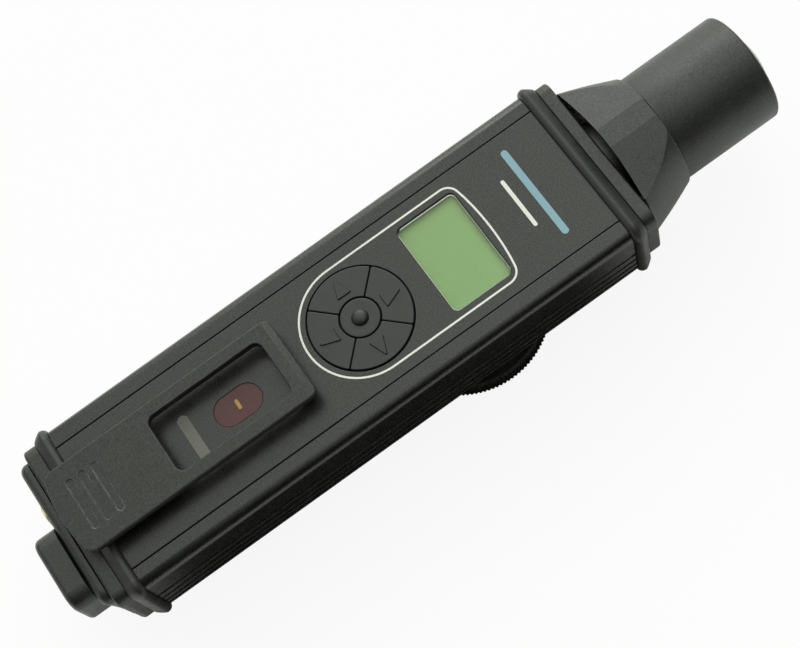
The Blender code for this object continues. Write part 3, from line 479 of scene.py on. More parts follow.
def heights(start, end, start_radii, end_radii, steps):
    found = {round(start, 6), round(end, 6)}
    for base, radii, sign in ((start, start_radii, 1), (end, end_radii, -1)):
        for r in radii:
            if r > 0:
                found |= {round(base + sign * (r * (1 - cos(pi / 2 * k / steps))), 6)
                          for k in range(steps + 1)}
    kept = []
    for height in sorted(found):
        if not kept or height - kept[-1] > 1e-4:
            kept.append(height)
    return kept


def prism(axis, outer, start, end, r_start=0.0, r_end=0.0, steps=5, holes=(),
          hole_start=0.0, hole_ends=None, sections=0, shift=None):
    """An extruded outline with holes; r_ and hole_ values round its end edges.

    sections adds evenly spaced levels, so that shift can bend the sides.
    """
    hole_ends = hole_ends or [0.0] * len(holes)
    rounds = heights(start, end, [r_start, hole_start], [r_end, *hole_ends], steps)
    even = {start + (end - start) * k / sections for k in range(1, sections)}
    levels = []
    for height in sorted(set(rounds) | even):
        loops = [inset(outer, edge_inset(height, start, end, r_start, r_end))]
        for hole, r in zip(holes, hole_ends):
            loops.append(inset(hole, -edge_inset(height, start, end, hole_start, r)))
        levels.append((height, loops))
    return stack(axis, levels, shift)


def turned(axis, centre, profile, steps):
    """Revolve a (radius, height) profile; one that starts off the axis closes on itself."""
    bm = bmesh.new()
    rows = []
    for radius, height in profile:
        ring = circle(radius, steps, *centre) if radius else [centre]
        rows.append([bm.verts.new(place(axis, height, p, q)) for p, q in ring])
    pairs = list(zip(rows, rows[1:]))
    if profile[0][0]:
        pairs.append((rows[-1], rows[0]))
    for a, b in pairs:
        if len(a) > 1 and len(b) > 1:
            bridge(bm, a, b)
            continue
        for i in range(steps):
            j = (i + 1) % steps
            bm.faces.new((a[0], b[j], b[i]) if len(a) == 1 else (a[i], a[j], b[0]))
    return bm


def block(low, high):
    bm = bmesh.new()
    xs, ys, zs = zip(low, high)
    verts = [bm.verts.new((x, y, z)) for x in xs for y in ys for z in zs]
    for face in ((0, 1, 3, 2), (4, 6, 7, 5), (0, 4, 5, 1), (2, 3, 7, 6), (0, 2, 6, 4), (1, 5, 7, 3)):
        bm.faces.new([verts[i] for i in face])
    return bm


# ---- objects ----------------------------------------------------------------
CUT, JOIN = "DIFFERENCE", "UNION"


def add_object(name, data):
    ob = bpy.data.objects.new(name, data)
    bpy.context.scene.collection.objects.link(ob)
    return ob


def mesh_object(name, bm):
    mesh = bpy.data.meshes.new(name)
    bm.to_mesh(mesh)
    bm.free()
    return add_object(name, mesh)


def solid_object(name, bm):
    bmesh.ops.recalc_face_normals(bm, faces=bm.faces)
    for v in bm.verts:
        v.co = v.co * MM
    return mesh_object(name, bm)


def bake(ob):
    """Apply the modifiers to the mesh."""
    bpy.context.view_layer.update()
    graph = bpy.context.evaluated_depsgraph_get()
    mesh = bpy.data.meshes.new_from_object(ob.evaluated_get(graph))
    old = ob.data
    ob.modifiers.clear()
    ob.data = mesh
    bpy.data.meshes.remove(old)


def carve(ob, cuts):
    """Work a list of (operation, solid) into an object."""
    tools = []
    for k, (operation, solid) in enumerate(cuts):
        tool = solid_object("tool_%d" % k, solid)
        boolean = ob.modifiers.new("b%d" % k, "BOOLEAN")
        boolean.operation = operation
        boolean.solver = "EXACT"
        boolean.object = tool
        tools.append(tool)
    bake(ob)
    for tool in tools:
        mesh = tool.data
        bpy.data.objects.remove(tool)
        bpy.data.meshes.remove(mesh)


def soften(ob, width, angle):
    """Round the edges that bend by more than an angle in degrees."""
    bevel = ob.modifiers.new("soft", "BEVEL")
    bevel.width = width * MM
    bevel.segments = 3
    bevel.limit_method = "ANGLE"
    bevel.angle_limit = radians(angle)
    bevel.miter_outer = "MITER_ARC"
    bevel.use_clamp_overlap = True
    bake(ob)


def flat_normals(mesh, limit):
    """Corners that touch a flat face along an axis take that face's normal."""
    mesh.update()
    corners = [tuple(c.vector) for c in mesh.corner_normals]
    flats = [[] for _ in mesh.vertices]
    for face in mesh.polygons:
        n = face.normal
        if max(abs(n.x), abs(n.y), abs(n.z)) > 0.99999:
            for v in face.vertices:
                if not any(n.dot(flat) > 0.99 for flat in flats[v]):
                    flats[v].append(n.copy())
    for face in mesh.polygons:
        n = face.normal
        for corner in face.loop_indices:
            best, closest = None, limit
            for flat in flats[mesh.loops[corner].vertex_index]:
                if n.dot(flat) > closest:
                    best, closest = flat, n.dot(flat)
            if best:
                corners[corner] = tuple(best)
    mesh.normals_split_custom_set(corners)


def make(name, solid, material, node=None, sharp=34, body="case", cuts=(), soft=None):
    """Build one piece: node is the CAD piece it replaces, sharp an angle in degrees."""
    ob = solid_object(name, solid)
    if cuts:
        carve(ob, cuts)
    if soft:
        soften(ob, **soft)
    mesh = ob.data
    mesh.materials.clear()
    mesh.materials.append(MATERIALS[material])
    mesh.shade_smooth()
    mesh.set_sharp_from_angle(angle=radians(sharp))
    flat_normals(mesh, cos(radians(sharp)))
    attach(ob, body)
    if node:
        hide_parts(node)


# ---- case extrusion ---------------------------------------------------------
GROOVES = [-9.9, -6.9, -3.2, 1.0]       # side grooves, z from the case axis
GROOVE_HW, GROOVE_FLOOR_HW, GROOVE_DEPTH = 0.75, 0.28, 0.7
WALL = 2.0
WALL_TOP = FACE - PANEL_T - GAP         # front wall, under the panel
FRONT_CUT = (WALL_TOP - 4, WALL_TOP + 1)
REAR_BORE = 22.6
REAR_SCREW_PITCH = 24.15
REAR_SCREWS = [(REAR_SCREW_PITCH * cos(radians(a)), REAR_SCREW_PITCH * sin(radians(a)))
               for a in (45, 135, 225, 315)]


def case_outline():
    """Grooved sides and a shallow seat for the panel at the front."""
    half = []
    for groove in GROOVES:
        z = AXIS_Z + groove
        half += [(CASE_HW, z - GROOVE_HW, 0.3),
                 (CASE_HW - GROOVE_DEPTH, z - GROOVE_FLOOR_HW, 0.25),
                 (CASE_HW - GROOVE_DEPTH, z + GROOVE_FLOOR_HW, 0.25),
                 (CASE_HW, z + GROOVE_HW, 0.3)]
    front = AXIS_Z + CASE_HD
    seat_hw = PANEL_HW + 0.25
    half += [(CASE_HW, front, CASE_CORNER), (seat_hw, front, 0.22),
             (seat_hw, front - PANEL_T - GAP, 0)]
    rear_corners = [(-CASE_HW, BACK, CASE_CORNER), (CASE_HW, BACK, CASE_CORNER)]
    return fillet(half + mirrored(half) + rear_corners, 12)


def case_cavity():
    """Rectangle with its four corners stepped in."""
    hw, low, high, step = CASE_HW - WALL, -CASE_HD + WALL, CASE_HD - PANEL_T - GAP - 1.4, 5.6
    half = [(hw, low + step), (hw, high - step), (hw - step, high - step), (hw - step, high)]
    rear_step = [(hw - step, low), (hw - step, low + step)]
    return [(x, AXIS_Z + z) for x, z in half + mirrored(half) + mirrored(rear_step) + rear_step]


make("case_extrusion",
     prism("Y", case_outline(), CASE_Y0, CASE_Y1, r_start=0.15, r_end=0.15, steps=3,
           holes=[case_cavity()] + [circle(1.6, 24, x, z) for x, z in SCREWS]),
     "case", "body_shell",
     cuts=[(CUT, block((-19.8, -8.6, FRONT_CUT[0]), (19.8, 18.6, FRONT_CUT[1]))),
           (CUT, rod("Z", *FRONT_CUT, 17.4, 64, 0, KEY_Y)),
           (CUT, block((-6.5, IR_Y - 9.5, FRONT_CUT[0]), (6.5, IR_Y + 9.5, FRONT_CUT[1]))),
           (CUT, rod("Z", BACK - 2, BACK + 4, REAR_BORE, 96))]
     + [(CUT, rod("Z", BACK - 2, BACK + 3.2, 1.1, 24, x, y)) for x, y in REAR_SCREWS])

# ---- front panel with its printed marks -------------------------------------
LCD_HW, LCD_HH = 16.0, 10.4
PRINT_BOTTOM = FACE - 0.02
LINE_HW = 0.31          # half the width of the printed line


def outline_path():
    """Middle of the line printed round keypad and display."""
    hw, top, crown_r, steps = 18.33, 17.99, 87.0, 64

    def crown(x):
        return top - (crown_r - sqrt(crown_r * crown_r - x * x))
    upper = [(hw, 0.0, 0.0), (hw, crown(hw), 4.2)]
    upper += [(x, crown(x), 0.0) for x in (12.0, 8.0, 4.0, 0.0, -4.0, -8.0, -12.0)]
    upper += [(-hw, crown(-hw), 4.2), (-hw, 0.0, 0.0)]
    lower = [(hw * cos(pi + pi * i / steps), KEY_Y + (hw + 0.12) * sin(pi + pi * i / steps))
             for i in range(1, steps)]
    return fillet(upper, 14) + [(-hw, KEY_Y)] + lower + [(hw, KEY_Y)]


make("display_panel",
     prism("Z", round_rect(PANEL_HW, PANEL_HH, 0.4, 4, 0, PANEL_Y), FACE - PANEL_T, FACE,
           r_end=0.22, hole_ends=[0.32, 0.25, 0.15],
           holes=[round_rect(LCD_HW, LCD_HH, 2.0, 12, 0, LCD_Y), circle(16.4, 128, 0, KEY_Y),
                  oval(4.9, 7.9, IR_Y)]),
     "panel", "front_panel", sharp=40)
make("panel_outline_print",
     bar("Z", PRINT_BOTTOM, FACE + 0.03,
         inset(outline_path(), -LINE_HW), inset(outline_path(), LINE_HW)),
     "ink_white", sharp=30)
# plain bars above the display: name, ink, half width, half height, corner, x, y
for name, ink, hw, hh, corner, x, y in (
        ("panel_bar_blue", "ink_blue", 16.5, 1.1, 1.05, -0.5, 34.6),
        ("panel_bar_white", "ink_white", 9.0, 0.62, 0.6, -0.4, 28.9)):
    make(name, prism("Z", round_rect(hw, hh, corner, 8, x, y), PRINT_BOTTOM, FACE + 0.035,
                     r_end=0.01, steps=1), ink, sharp=30)

# ---- display ----------------------------------------------------------------
LCD_PLAY = 0.12         # room round the glass in its opening
# depth below the face, half width, half height, corner radius
LCD_LEVELS = [(5.2, 19.3, 13.1, 1.0), (2.6, 19.3, 13.1, 1.0), (2.5, 19.2, 13.0, 1.0),
              (2.5, 17.7, 11.7, 0.6), (1.95, 17.65, 11.65, 0.6), (1.9, 17.6, 11.6, 0.6)]
make("display_glass",
     prism("Z", round_rect(LCD_HW - LCD_PLAY, LCD_HH - LCD_PLAY, 1.9, 12, 0, LCD_Y),
           FACE - 1.5, FACE - 0.35, r_start=0.08, r_end=0.32, steps=2),
     "clear", "lcd_window", sharp=40)
make("display_cell",
     stack("Z", [(FACE - depth, [round_rect(hw, hh, r, 6, 0, 5.0)])
                 for depth, hw, hh, r in LCD_LEVELS]),
     "lcd", "lcd_module", sharp=30)

# ---- keypad -----------------------------------------------------------------
KEY_R, KEY_INNER_R = 16.05, 6.45
KEY_GAP = 0.11                          # half the slit between two keys
OUTER_CORNER, INNER_CORNER = 0.65, 0.45
# height above the key top, how much the triangle has grown
TRIANGLE_LEVELS = [(-0.5, 0.08), (0.02, 0.08), (0.40, -0.06), (0.48, -0.14)]


def on_keypad(x, y, angle):
    """Turn a point about the keypad centre."""
    return x * cos(angle) - y * sin(angle), x * sin(angle) + y * cos(angle) + KEY_Y


def key_loop(angle):
    """A quarter-ring key with its four corners rounded."""
    def arc(radius, start, end, steps):
        return [(radius * cos(start + (end - start) * k / steps),
                 radius * sin(start + (end - start) * k / steps)) for k in range(steps + 1)]

    def blend(start, corner, end, steps=6):
        curve = []
        for k in range(1, steps):
            t = k / steps
            curve.append(tuple(Vector(start) * (1 - t) ** 2 + Vector(corner) * 2 * t * (1 - t)
                               + Vector(end) * t * t))
        return curve
    outer_trim = asin((KEY_GAP + OUTER_CORNER) / KEY_R)
    inner_trim = asin((KEY_GAP + INNER_CORNER) / KEY_INNER_R)
    outer = arc(KEY_R, -pi / 4 + outer_trim, pi / 4 - outer_trim, 44)
    inner = arc(KEY_INNER_R, pi / 4 - inner_trim, -pi / 4 + inner_trim, 20)
    # the straight side runs along the 45 degree line, half a slit away from it
    along = Vector((cos(pi / 4), sin(pi / 4)))
    offset = Vector((sin(pi / 4), -cos(pi / 4))) * KEY_GAP
    outer_reach = sqrt(KEY_R ** 2 - KEY_GAP ** 2)
    inner_reach = sqrt(KEY_INNER_R ** 2 - KEY_GAP ** 2)
    side_start = along * (outer_reach - OUTER_CORNER) + offset
    side_end = along * (inner_reach + INNER_CORNER) + offset
    side = blend(outer[-1], along * outer_reach + offset, side_start)
    side += [tuple(side_start), tuple(side_end)]
    side += blend(side_end, along * inner_reach + offset, inner[0])
    points = outer + side + inner + [(x, -y) for x, y in reversed(side)]
    return [on_keypad(x, y, angle) for x, y in points]


def triangle_loop(angle, grow):
    """Key mark: a triangle pointing outwards."""
    tip, base, half = 14.75 + grow * 2.2, 8.35 - grow, 2.45 + grow * 1.5
    return fillet([(*on_keypad(x, y, angle), 0.35)
                   for x, y in ((tip, 0.0), (base, half), (base, -half))], 6)


for k, side in enumerate(("right", "up", "left", "down")):
    angle = radians(90 * k)
    button_name = "button_" + side
    mark = stack("Z", [(KEY_TOP + rise, [triangle_loop(angle, grow)])
                       for rise, grow in TRIANGLE_LEVELS])
    make("key_" + side,
         prism("Z", key_loop(angle), KEY_BOTTOM, KEY_TOP, r_start=0.1, r_end=0.34),
         "key", button_name, body=button_name, cuts=[(JOIN, mark)])

NUB_R, NUB_EDGE = 6.12, 0.35
nub = [(0, KEY_BOTTOM), (6.1, KEY_BOTTOM), (NUB_R, KEY_TOP - NUB_EDGE)]
nub += [(NUB_R - NUB_EDGE * (1 - cos(t)), KEY_TOP - NUB_EDGE + NUB_EDGE * sin(t))
        for t in quarter(5)]
nub += [(4.6, KEY_TOP - 0.02), (3.4, KEY_TOP - 0.10), (2.75, KEY_TOP - 0.10), (2.6, KEY_TOP)]
nub += [(2.55 * cos(t), KEY_TOP + 0.05 + 1.25 * sin(t)) for t in quarter(12)[:-1]]
nub.append((0, NUB_TOP))
make("key_centre", turned("Z", (0, KEY_Y), nub, 96), "key", "button_centre",
     sharp=40, body="button_centre")
make("keypad_membrane",
     prism("Z", circle(17.0, 96, 0, KEY_Y), FACE - 5.2, FACE - 3.0,
           r_start=0.2, r_end=0.2, steps=3),
     "rubber", "keypad_mat", sharp=40)

# ---- infrared port and label ------------------------------------------------
LABEL_Y, LABEL_HW, LABEL_HH = -88.4, 7.5, 1.75
make("ir_lens",
     prism("Z", oval(4.84, 7.84, IR_Y), FACE - 1.6, FACE - 0.1,
           r_start=0.1, r_end=0.12, steps=4),
     "red", "ir_window", sharp=40)
make("ir_mark_print",
     prism("Z", round_rect(1.7, 0.55, 0.5, 8, -0.2, IR_Y + 0.1), FACE - 0.12, FACE - 0.07,
           r_end=0.01, steps=1),
     "ink_amber", sharp=30)
# square at its +X end, cut back at its -X end
label = fillet([(LABEL_HW, LABEL_Y - LABEL_HH, 0.25), (LABEL_HW, LABEL_Y + LABEL_HH, 0.25),
                (-6.6, LABEL_Y + LABEL_HH, 0.9), (-LABEL_HW, LABEL_Y + 0.6, 0.9),
                (-LABEL_HW, LABEL_Y - 0.6, 0.9), (-6.6, LABEL_Y - LABEL_HH, 0.9)], 8)
make("rating_plate",
     prism("Z", label, FACE + 0.05, FACE + 0.2, r_start=0.02, r_end=0.05, steps=2),
     "label", "rating_label", sharp=40)

# ---- belt clip, over the lower part of the face -----------------------------
CLIP_T = 3.0
CLIP_BOTTOM = CLIP_TOP - CLIP_T
CLIP_BOW = 1.7
WINDOW_HW, WINDOW_Y0, WINDOW_Y1 = 9.85, -96.6, -56.8
CHAMFER_LENGTH, CHAMFER_DROP = 2.2, 0.75
LUG_X, LUG_HW, LUG_R = 6.6, 1.2, 2.0
# grip grooves across the clip: places in y, half straight length,
# then (height from the clip top, half width) of the groove's section
GRIP_YS = (-115.9, -120.3, -124.6)
GRIP_STRAIGHT = 7.5
GRIP_SECTION = [(-0.42, 0.95), (-0.36, 1.1), (-0.08, 1.2), (0, 1.32), (1, 2.3)]


def clip_loop():
    """Clip plate from the front, its lower end bowed out."""
    corner_y = CLIP_Y0 + CLIP_BOW
    corners = [(CLIP_HW, CLIP_Y1, 2.4), (-CLIP_HW, CLIP_Y1, 2.4), (-CLIP_HW, corner_y, 4.2)]
    for k in range(1, 12):
        t = -1 + 2 * k / 12
        corners.append((t * CLIP_HW * 0.92, CLIP_Y0 + CLIP_BOW * abs(t) ** 2.0, 0.0))
    corners.append((CLIP_HW, corner_y, 4.2))
    return fillet(corners, 12)


def clip_shift(co):
    """The upper end falls away in a wide soft chamfer."""
    x, y, z = co
    t = max(0.0, min(1.0, (y - (CLIP_Y1 - CHAMFER_LENGTH)) / CHAMFER_LENGTH))
    drop = CHAMFER_DROP * t * max(0.0, min(1.0, (z - CLIP_BOTTOM) / CLIP_T))
    return (x, y, z - drop)


def clip_lug(side):
    """An ear below the plate, rounded about the pin."""
    profile = [(PIN_Y + LUG_R, CLIP_TOP - 1.5), (PIN_Y - LUG_R, CLIP_TOP - 1.5),
               (PIN_Y - LUG_R, PIN_Z)]
    profile += [(PIN_Y - LUG_R * cos(pi * k / 18), PIN_Z - LUG_R * sin(pi * k / 18))
                for k in range(1, 18)]
    profile.append((PIN_Y + LUG_R, PIN_Z))
    return bar("X", side * LUG_X - LUG_HW, side * LUG_X + LUG_HW, profile)


def grip_groove(y):
    return stack("Z", [(CLIP_TOP + rise, [round_rect(GRIP_STRAIGHT + half, half, half - 0.05,
                                                     8, 0, y)]) for rise, half in GRIP_SECTION])


window = round_rect(WINDOW_HW, (WINDOW_Y1 - WINDOW_Y0) / 2, 2.6, 10,
                    0, (WINDOW_Y0 + WINDOW_Y1) / 2)
make("clip_plate",
     prism("Z", clip_loop(), CLIP_BOTTOM, CLIP_TOP, r_start=0.5, r_end=0.45, steps=6,
           holes=[window], hole_start=0.25, hole_ends=[0.4], shift=clip_shift),
     "clip", "belt_clip", body="belt_clip",
     cuts=[(JOIN, clip_lug(-1)), (JOIN, clip_lug(1)),
           (CUT, rod("X", -12, 12, 1.35, 32, PIN_Y, PIN_Z))]
     + [(CUT, grip_groove(y)) for y in GRIP_YS])

# ---- bumper rings -----------------------------------------------------------
BUMPER_LAP = 0.95       # how far the rubber laps over the end of the case
BUMPER_LIP = 0.16       # height of its first edge above the case surface


def bumper(case_y, cap_y, side):
    """A rubber frame that laps over the end of the case and runs out onto the cap."""
    out = BUMPER_HW - CASE_HW
    edge = -BUMPER_LAP - 0.1
    inner = round_rect(21.0, 10.3, 1.0, 12, 0, AXIS_Z)
    # (offset from the case surface, distance towards the cap from the case side)
    section = [(-0.6, 0.0), (0.03, 0.0), (0.03, -BUMPER_LAP), (BUMPER_LIP, edge)]
    section += [(BUMPER_LIP + (out - BUMPER_LIP) * sin(t), edge + 2.0 * (1 - cos(t)))
                for t in quarter(18)]
    section += [(out - (out + 0.22) * (k / 18) ** 1.3, 0.95 + 2.95 * (k / 18))
                for k in range(1, 19)]
    section.append((-0.6, abs(cap_y - case_y) + 0.25))
    bm = bmesh.new()

    def ring(loop, y):
        return [bm.verts.new((x, y, z)) for x, z in loop]
    first = ring(inner, case_y)
    rows = [ring(round_rect(CASE_HW + off, CASE_HD + off, CASE_CORNER + off, 14, 0, AXIS_Z),
                 case_y + side * distance) for off, distance in section]
    last = ring(inner, cap_y)
    for row, following in zip(rows, rows[1:]):
        bridge(bm, row, following)
    bridge(bm, first, last)
    # the inner loop has fewer points, so the ends are filled with triangles
    for rings in ((rows[0], first), (rows[-1], last)):
        close_end(bm, rings, [[(v.co.x, v.co.z) for v in verts] for verts in rings])
    return bm


for name, node, low, high, side in (
        ("bumper_upper", "top_bumper", upper_bumper.y0, upper_bumper.y1, 1),
        ("bumper_lower", "bottom_bumper", lower_bumper.y0, lower_bumper.y1, -1)):
    case_y, cap_y = (low, high)[::side]
    make(name, bumper(case_y, cap_y, side), "rubber", node, sharp=50,
         cuts=[(CUT, rod("Y", low - 2, high + 2, 1.6, 20, x, z)) for x, z in SCREWS])

# ---- end caps: shared parts -------------------------------------------------
CAP_HW, CAP_HD, CAP_CORNER = 28.5, 14.15, 4.2
UPPER_CAP_Y0, UPPER_CAP_Y1 = upper_bumper.y1 + GAP, 58.05
LOWER_CAP_Y0, LOWER_CAP_Y1 = -133.45, lower_bumper.y0 - GAP


def spigot(start, end):
    """The plug of a cap that enters the case."""
    return bar("Y", start, end, round_rect(20.6, 9.8, 1.5, 6, 0, AXIS_Z))


def screw_holes(inner_y, outer_y, side):
    """Stepped holes through a cap; side is the way the cap's end faces along Y."""
    seat = outer_y - side * 2.2
    profile = [(0, inner_y - side), (1.6, inner_y - side), (1.6, seat), (2.9, seat),
               (2.9, outer_y + side), (0, outer_y + side)]
    return [(CUT, turned("Y", screw, profile[::side], 32)) for screw in SCREWS]


def socket_screw(name, node, centre, head_y, side):
    """Hexagon socket screw, its thread a zigzag of small rings."""
    radius, head_t = 2.5, 1.6
    # (radius, depth below the head)
    profile = [(0, 0.0), (radius - 0.3, 0.0), (radius - 0.1, 0.08), (radius, 0.3),
               (radius, head_t), (1.3, head_t)]
    profile += [(1.3 if k % 2 else 1.12, head_t + 0.3 + k * 0.42) for k in range(26)]
    profile += [(1.1, 13.2), (0.8, 13.5), (0, 13.5)]
    socket = sorted((head_y - side * 1.1, head_y + side * 1.0))
    make(name, turned("Y", centre, [(r, head_y - side * depth) for r, depth in profile], 40),
         "black_screw", node, cuts=[(CUT, bar("Y", *socket, circle(1.45, 6, *centre)))])


# ---- top cap and its screws -------------------------------------------------
make("cap_upper",
     prism("Y", round_rect(CAP_HW, CAP_HD, CAP_CORNER, 16, 0, AXIS_Z, last_radius=7.4),
           UPPER_CAP_Y0, UPPER_CAP_Y1, r_start=0.4, r_end=0.9, steps=6),
     "cap", "top_end_cap",
     cuts=[(JOIN, spigot(CASE_Y1 - 4.0, UPPER_CAP_Y0 + 1.0)),
           (JOIN, rod("Y", UPPER_CAP_Y1 - 1.0, COLLAR_Y0 + 4.25, 13.6, 96, 0, AXIS_Z)),
           (CUT, rod("Y", CASE_Y1 - 6, COLLAR_Y0 + 6.3, 7.0, 48, 0, AXIS_Z))]
     + screw_holes(UPPER_CAP_Y0, UPPER_CAP_Y1, 1))
for k, screw in enumerate(SCREWS, 1):
    socket_screw("cap_screw_upper_%d" % k, "top_screw_%d" % k, screw, UPPER_CAP_Y1 - 0.25, 1)

# ---- detector head: collar, tube, dome --------------------------------------
COLLAR_BASE_R, COLLAR_TIP_R = 25.7, 19.25
DOME_SPHERE_R, DOME_R = 23.5, 14.4


def collar_flats():
    """Eight-sided outline that flattens the collar's front and back."""
    z1, x1, x2 = 18.0, 3.45, 40.0
    z2 = z1 - (x2 - x1) * tan(radians(12))
    return [(x, AXIS_Z + z) for x, z in ((x1, z1), (-x1, z1), (-x2, z2), (-x2, -z2),
                                         (-x1, -z1), (x1, -z1), (x2, -z2), (x2, z2))]


profile = [(14.0, COLLAR_Y0 + 1.9), (18.0, COLLAR_Y0 + 1.3), (25.3, COLLAR_Y0),
           (25.58, COLLAR_Y0 + 0.08), (COLLAR_BASE_R, COLLAR_Y0 + 0.3)]
profile += [(COLLAR_BASE_R + (COLLAR_TIP_R - COLLAR_BASE_R) * t + 0.25 * sin(pi * t),
             COLLAR_Y0 + 0.3 + (COLLAR_Y1 - 1.1 - COLLAR_Y0) * t) for t in (0.2, 0.4, 0.6, 0.8)]
profile += [(COLLAR_TIP_R, COLLAR_Y1 - 0.8), (19.12, COLLAR_Y1 - 0.42),
            (18.88, COLLAR_Y1 - 0.15), (18.5, COLLAR_Y1), (16.9, COLLAR_Y1),
            (16.9, COLLAR_Y0 + 7.25), (14.0, COLLAR_Y0 + 7.25)]
make("head_collar", turned("Y", (0, AXIS_Z), profile, 224), "head", "detector_collar",
     sharp=8, cuts=[("INTERSECT", bar("Y", COLLAR_Y0 - 1, COLLAR_Y1 + 1, collar_flats()))],
     soft={"width": 0.14, "angle": 9.5})

profile = [(14.8, COLLAR_Y0 + 7.65), (16.5, COLLAR_Y0 + 7.65), (16.5, COLLAR_Y1 + 0.15),
           (17.8, COLLAR_Y1 + 0.15), (17.95, COLLAR_Y1 + 0.22), (TUBE_R, COLLAR_Y1 + 0.4),
           (TUBE_R, COLLAR_Y1 + 12), (TUBE_R, COLLAR_Y1 + 22), (TUBE_R, TUBE_Y1 - 1.1)]
profile += [(TUBE_R - 1.1 * (1 - cos(t)), TUBE_Y1 - 1.1 + 1.1 * sin(t)) for t in quarter(7)]
profile += [(14.95, TUBE_Y1), (14.8, TUBE_Y1 - 0.15)]
make("head_tube", turned("Y", (0, AXIS_Z), profile, 224), "head", "detector_tube",
     sharp=40)

profile = [(0, TUBE_Y1 - 5.0), (DOME_R, TUBE_Y1 - 5.0), (DOME_R, TUBE_Y1 - 0.6)]
for k in range(1, 15):
    r = DOME_R * (1 - k / 14)
    profile.append((r, TUBE_Y1 - 0.6 + sqrt(DOME_SPHERE_R * DOME_SPHERE_R - r * r)
                    - sqrt(DOME_SPHERE_R * DOME_SPHERE_R - DOME_R * DOME_R)))
make("head_dome", turned("Y", (0, AXIS_Z), profile, 160), "dome", "detector_dome",
     sharp=40)

# ---- bottom cap, battery lid, latch -----------------------------------------
BATTERY_X, BATTERY_Z, BATTERY_R = -9.6, AXIS_Z - 1.6, 7.1
CONTACT_X, CONTACT_Z = -10.2, AXIS_Z + 4.0
HEEL_Y, HEEL_LENGTH = -129.2, 8.3           # where the heel starts, its run towards -Y
HEEL_SIDE_DRAW, HEEL_BACK_DRAW = 16.5, 5.0  # how far sides and back would close in


def heel(co):
    """The back half of the lower end draws in towards its tip."""
    x, y, z = co
    t = max(0.0, min(0.97, (HEEL_Y - y) / HEEL_LENGTH))
    weight = max(0.0, min(1.0, (AXIS_Z + 6.0 - z) / 12.0))
    weight = weight * weight * (3 - 2 * weight)
    draw = 1 - sqrt(1 - t * t)
    side = CASE_HW - HEEL_SIDE_DRAW * draw
    drawn_x = max(-side, min(side, x))
    drawn_z = max(AXIS_Z - (CASE_HD - HEEL_BACK_DRAW * draw), z)
    return (x + (drawn_x - x) * weight, y, z + (drawn_z - z) * weight)


make("cap_lower",
     prism("Y", round_rect(CAP_HW, CAP_HD, CAP_CORNER, 18, 0, AXIS_Z),
           LOWER_CAP_Y0, LOWER_CAP_Y1, r_start=0.9, r_end=0.25, steps=6, sections=10, shift=heel),
     "cap", "bottom_end_cap",
     cuts=[(JOIN, spigot(LOWER_CAP_Y1 - 1.0, CASE_Y0 + 4.0)),
           (CUT, rod("Y", LOWER_CAP_Y0 - 1, CASE_Y0 + 6, BATTERY_R + 0.5, 64,
                     BATTERY_X, BATTERY_Z)),
           (CUT, rod("Y", LOWER_CAP_Y0 - 1, CASE_Y0 + 6, 3.4, 48, LATCH_X, LATCH_Z))]
     + screw_holes(LOWER_CAP_Y1, LOWER_CAP_Y0, -1))
for k, screw in enumerate(SCREWS, 1):
    socket_screw("cap_screw_lower_%d" % k, "bottom_screw_%d" % k, screw, LOWER_CAP_Y0 + 0.25, -1)

make("battery_lid",
     prism("Y", round_rect(LID_HW, LID_HD, CAP_CORNER, 18, 0, AXIS_Z), LID_Y0, LID_Y1,
           r_start=2.4, r_end=0.25, steps=9, sections=10, shift=heel),
     "cap", "battery_cover", body="battery_cover",
     cuts=[(CUT, rod("Y", LID_Y0 - 1, LID_Y1 + 1, 3.0, 48, LATCH_X, LATCH_Z)),
           (CUT, rod("Y", LID_Y0 - 1, LID_Y1 + 1, 2.2, 40, CONTACT_X, CONTACT_Z))])

# (radius, y) of the head, measured from the lid's outer face
CONTACT_HEAD = [(0, -1.3), (3.3, -1.3), (3.65, -1.24), (3.88, -1.05), (3.98, -0.8),
                (4.0, -0.55), (3.9, -0.3), (1.8, -0.3)]
make("contact_screw_brass",
     turned("Y", (CONTACT_X, CONTACT_Z), [(r, LID_Y0 + y) for r, y in CONTACT_HEAD]
            + [(1.8, LID_Y1 - 0.2), (0, LID_Y1 - 0.2)], 72),
     "brass", "contact_screw", body="battery_cover",
     cuts=[(CUT, block((CONTACT_X - 6, LID_Y0 - 3, CONTACT_Z - 0.6),
                       (CONTACT_X + 6, LID_Y0 - 0.8, CONTACT_Z + 0.6)))])

LATCH_Y1 = LID_Y0 - GAP
make("latch_knob",
     prism("Y", round_rect(LATCH_HW, LATCH_HD, 5.5, 16, LATCH_X, LATCH_Z), latch.y0, LATCH_Y1,
           r_start=2.0, r_end=0.25, steps=9),
     "cap", "cover_latch", body="cover_latch",
     cuts=[(JOIN, rod("Y", LATCH_Y1 - 2, LOWER_CAP_Y0 + 3.5, 2.6, 48, LATCH_X, LATCH_Z))])

# ---- rear detector cover ----------------------------------------------------
KNURLS = 126
# one knurl: (part of its pitch, part of its depth)
KNURL_SHAPE = [(0.0, 0.0), (0.16, 0.06), (0.34, 0.62), (0.5, 1.0), (0.66, 0.62), (0.84, 0.06)]


def knurl(radius, depth):
    points = []
    for i in range(KNURLS):
        for part, cut in KNURL_SHAPE:
            a = 2 * pi * i / KNURLS + 2 * pi / KNURLS * part
            points.append(((radius - depth * cut) * cos(a), (radius - depth * cut) * sin(a)))
    return points


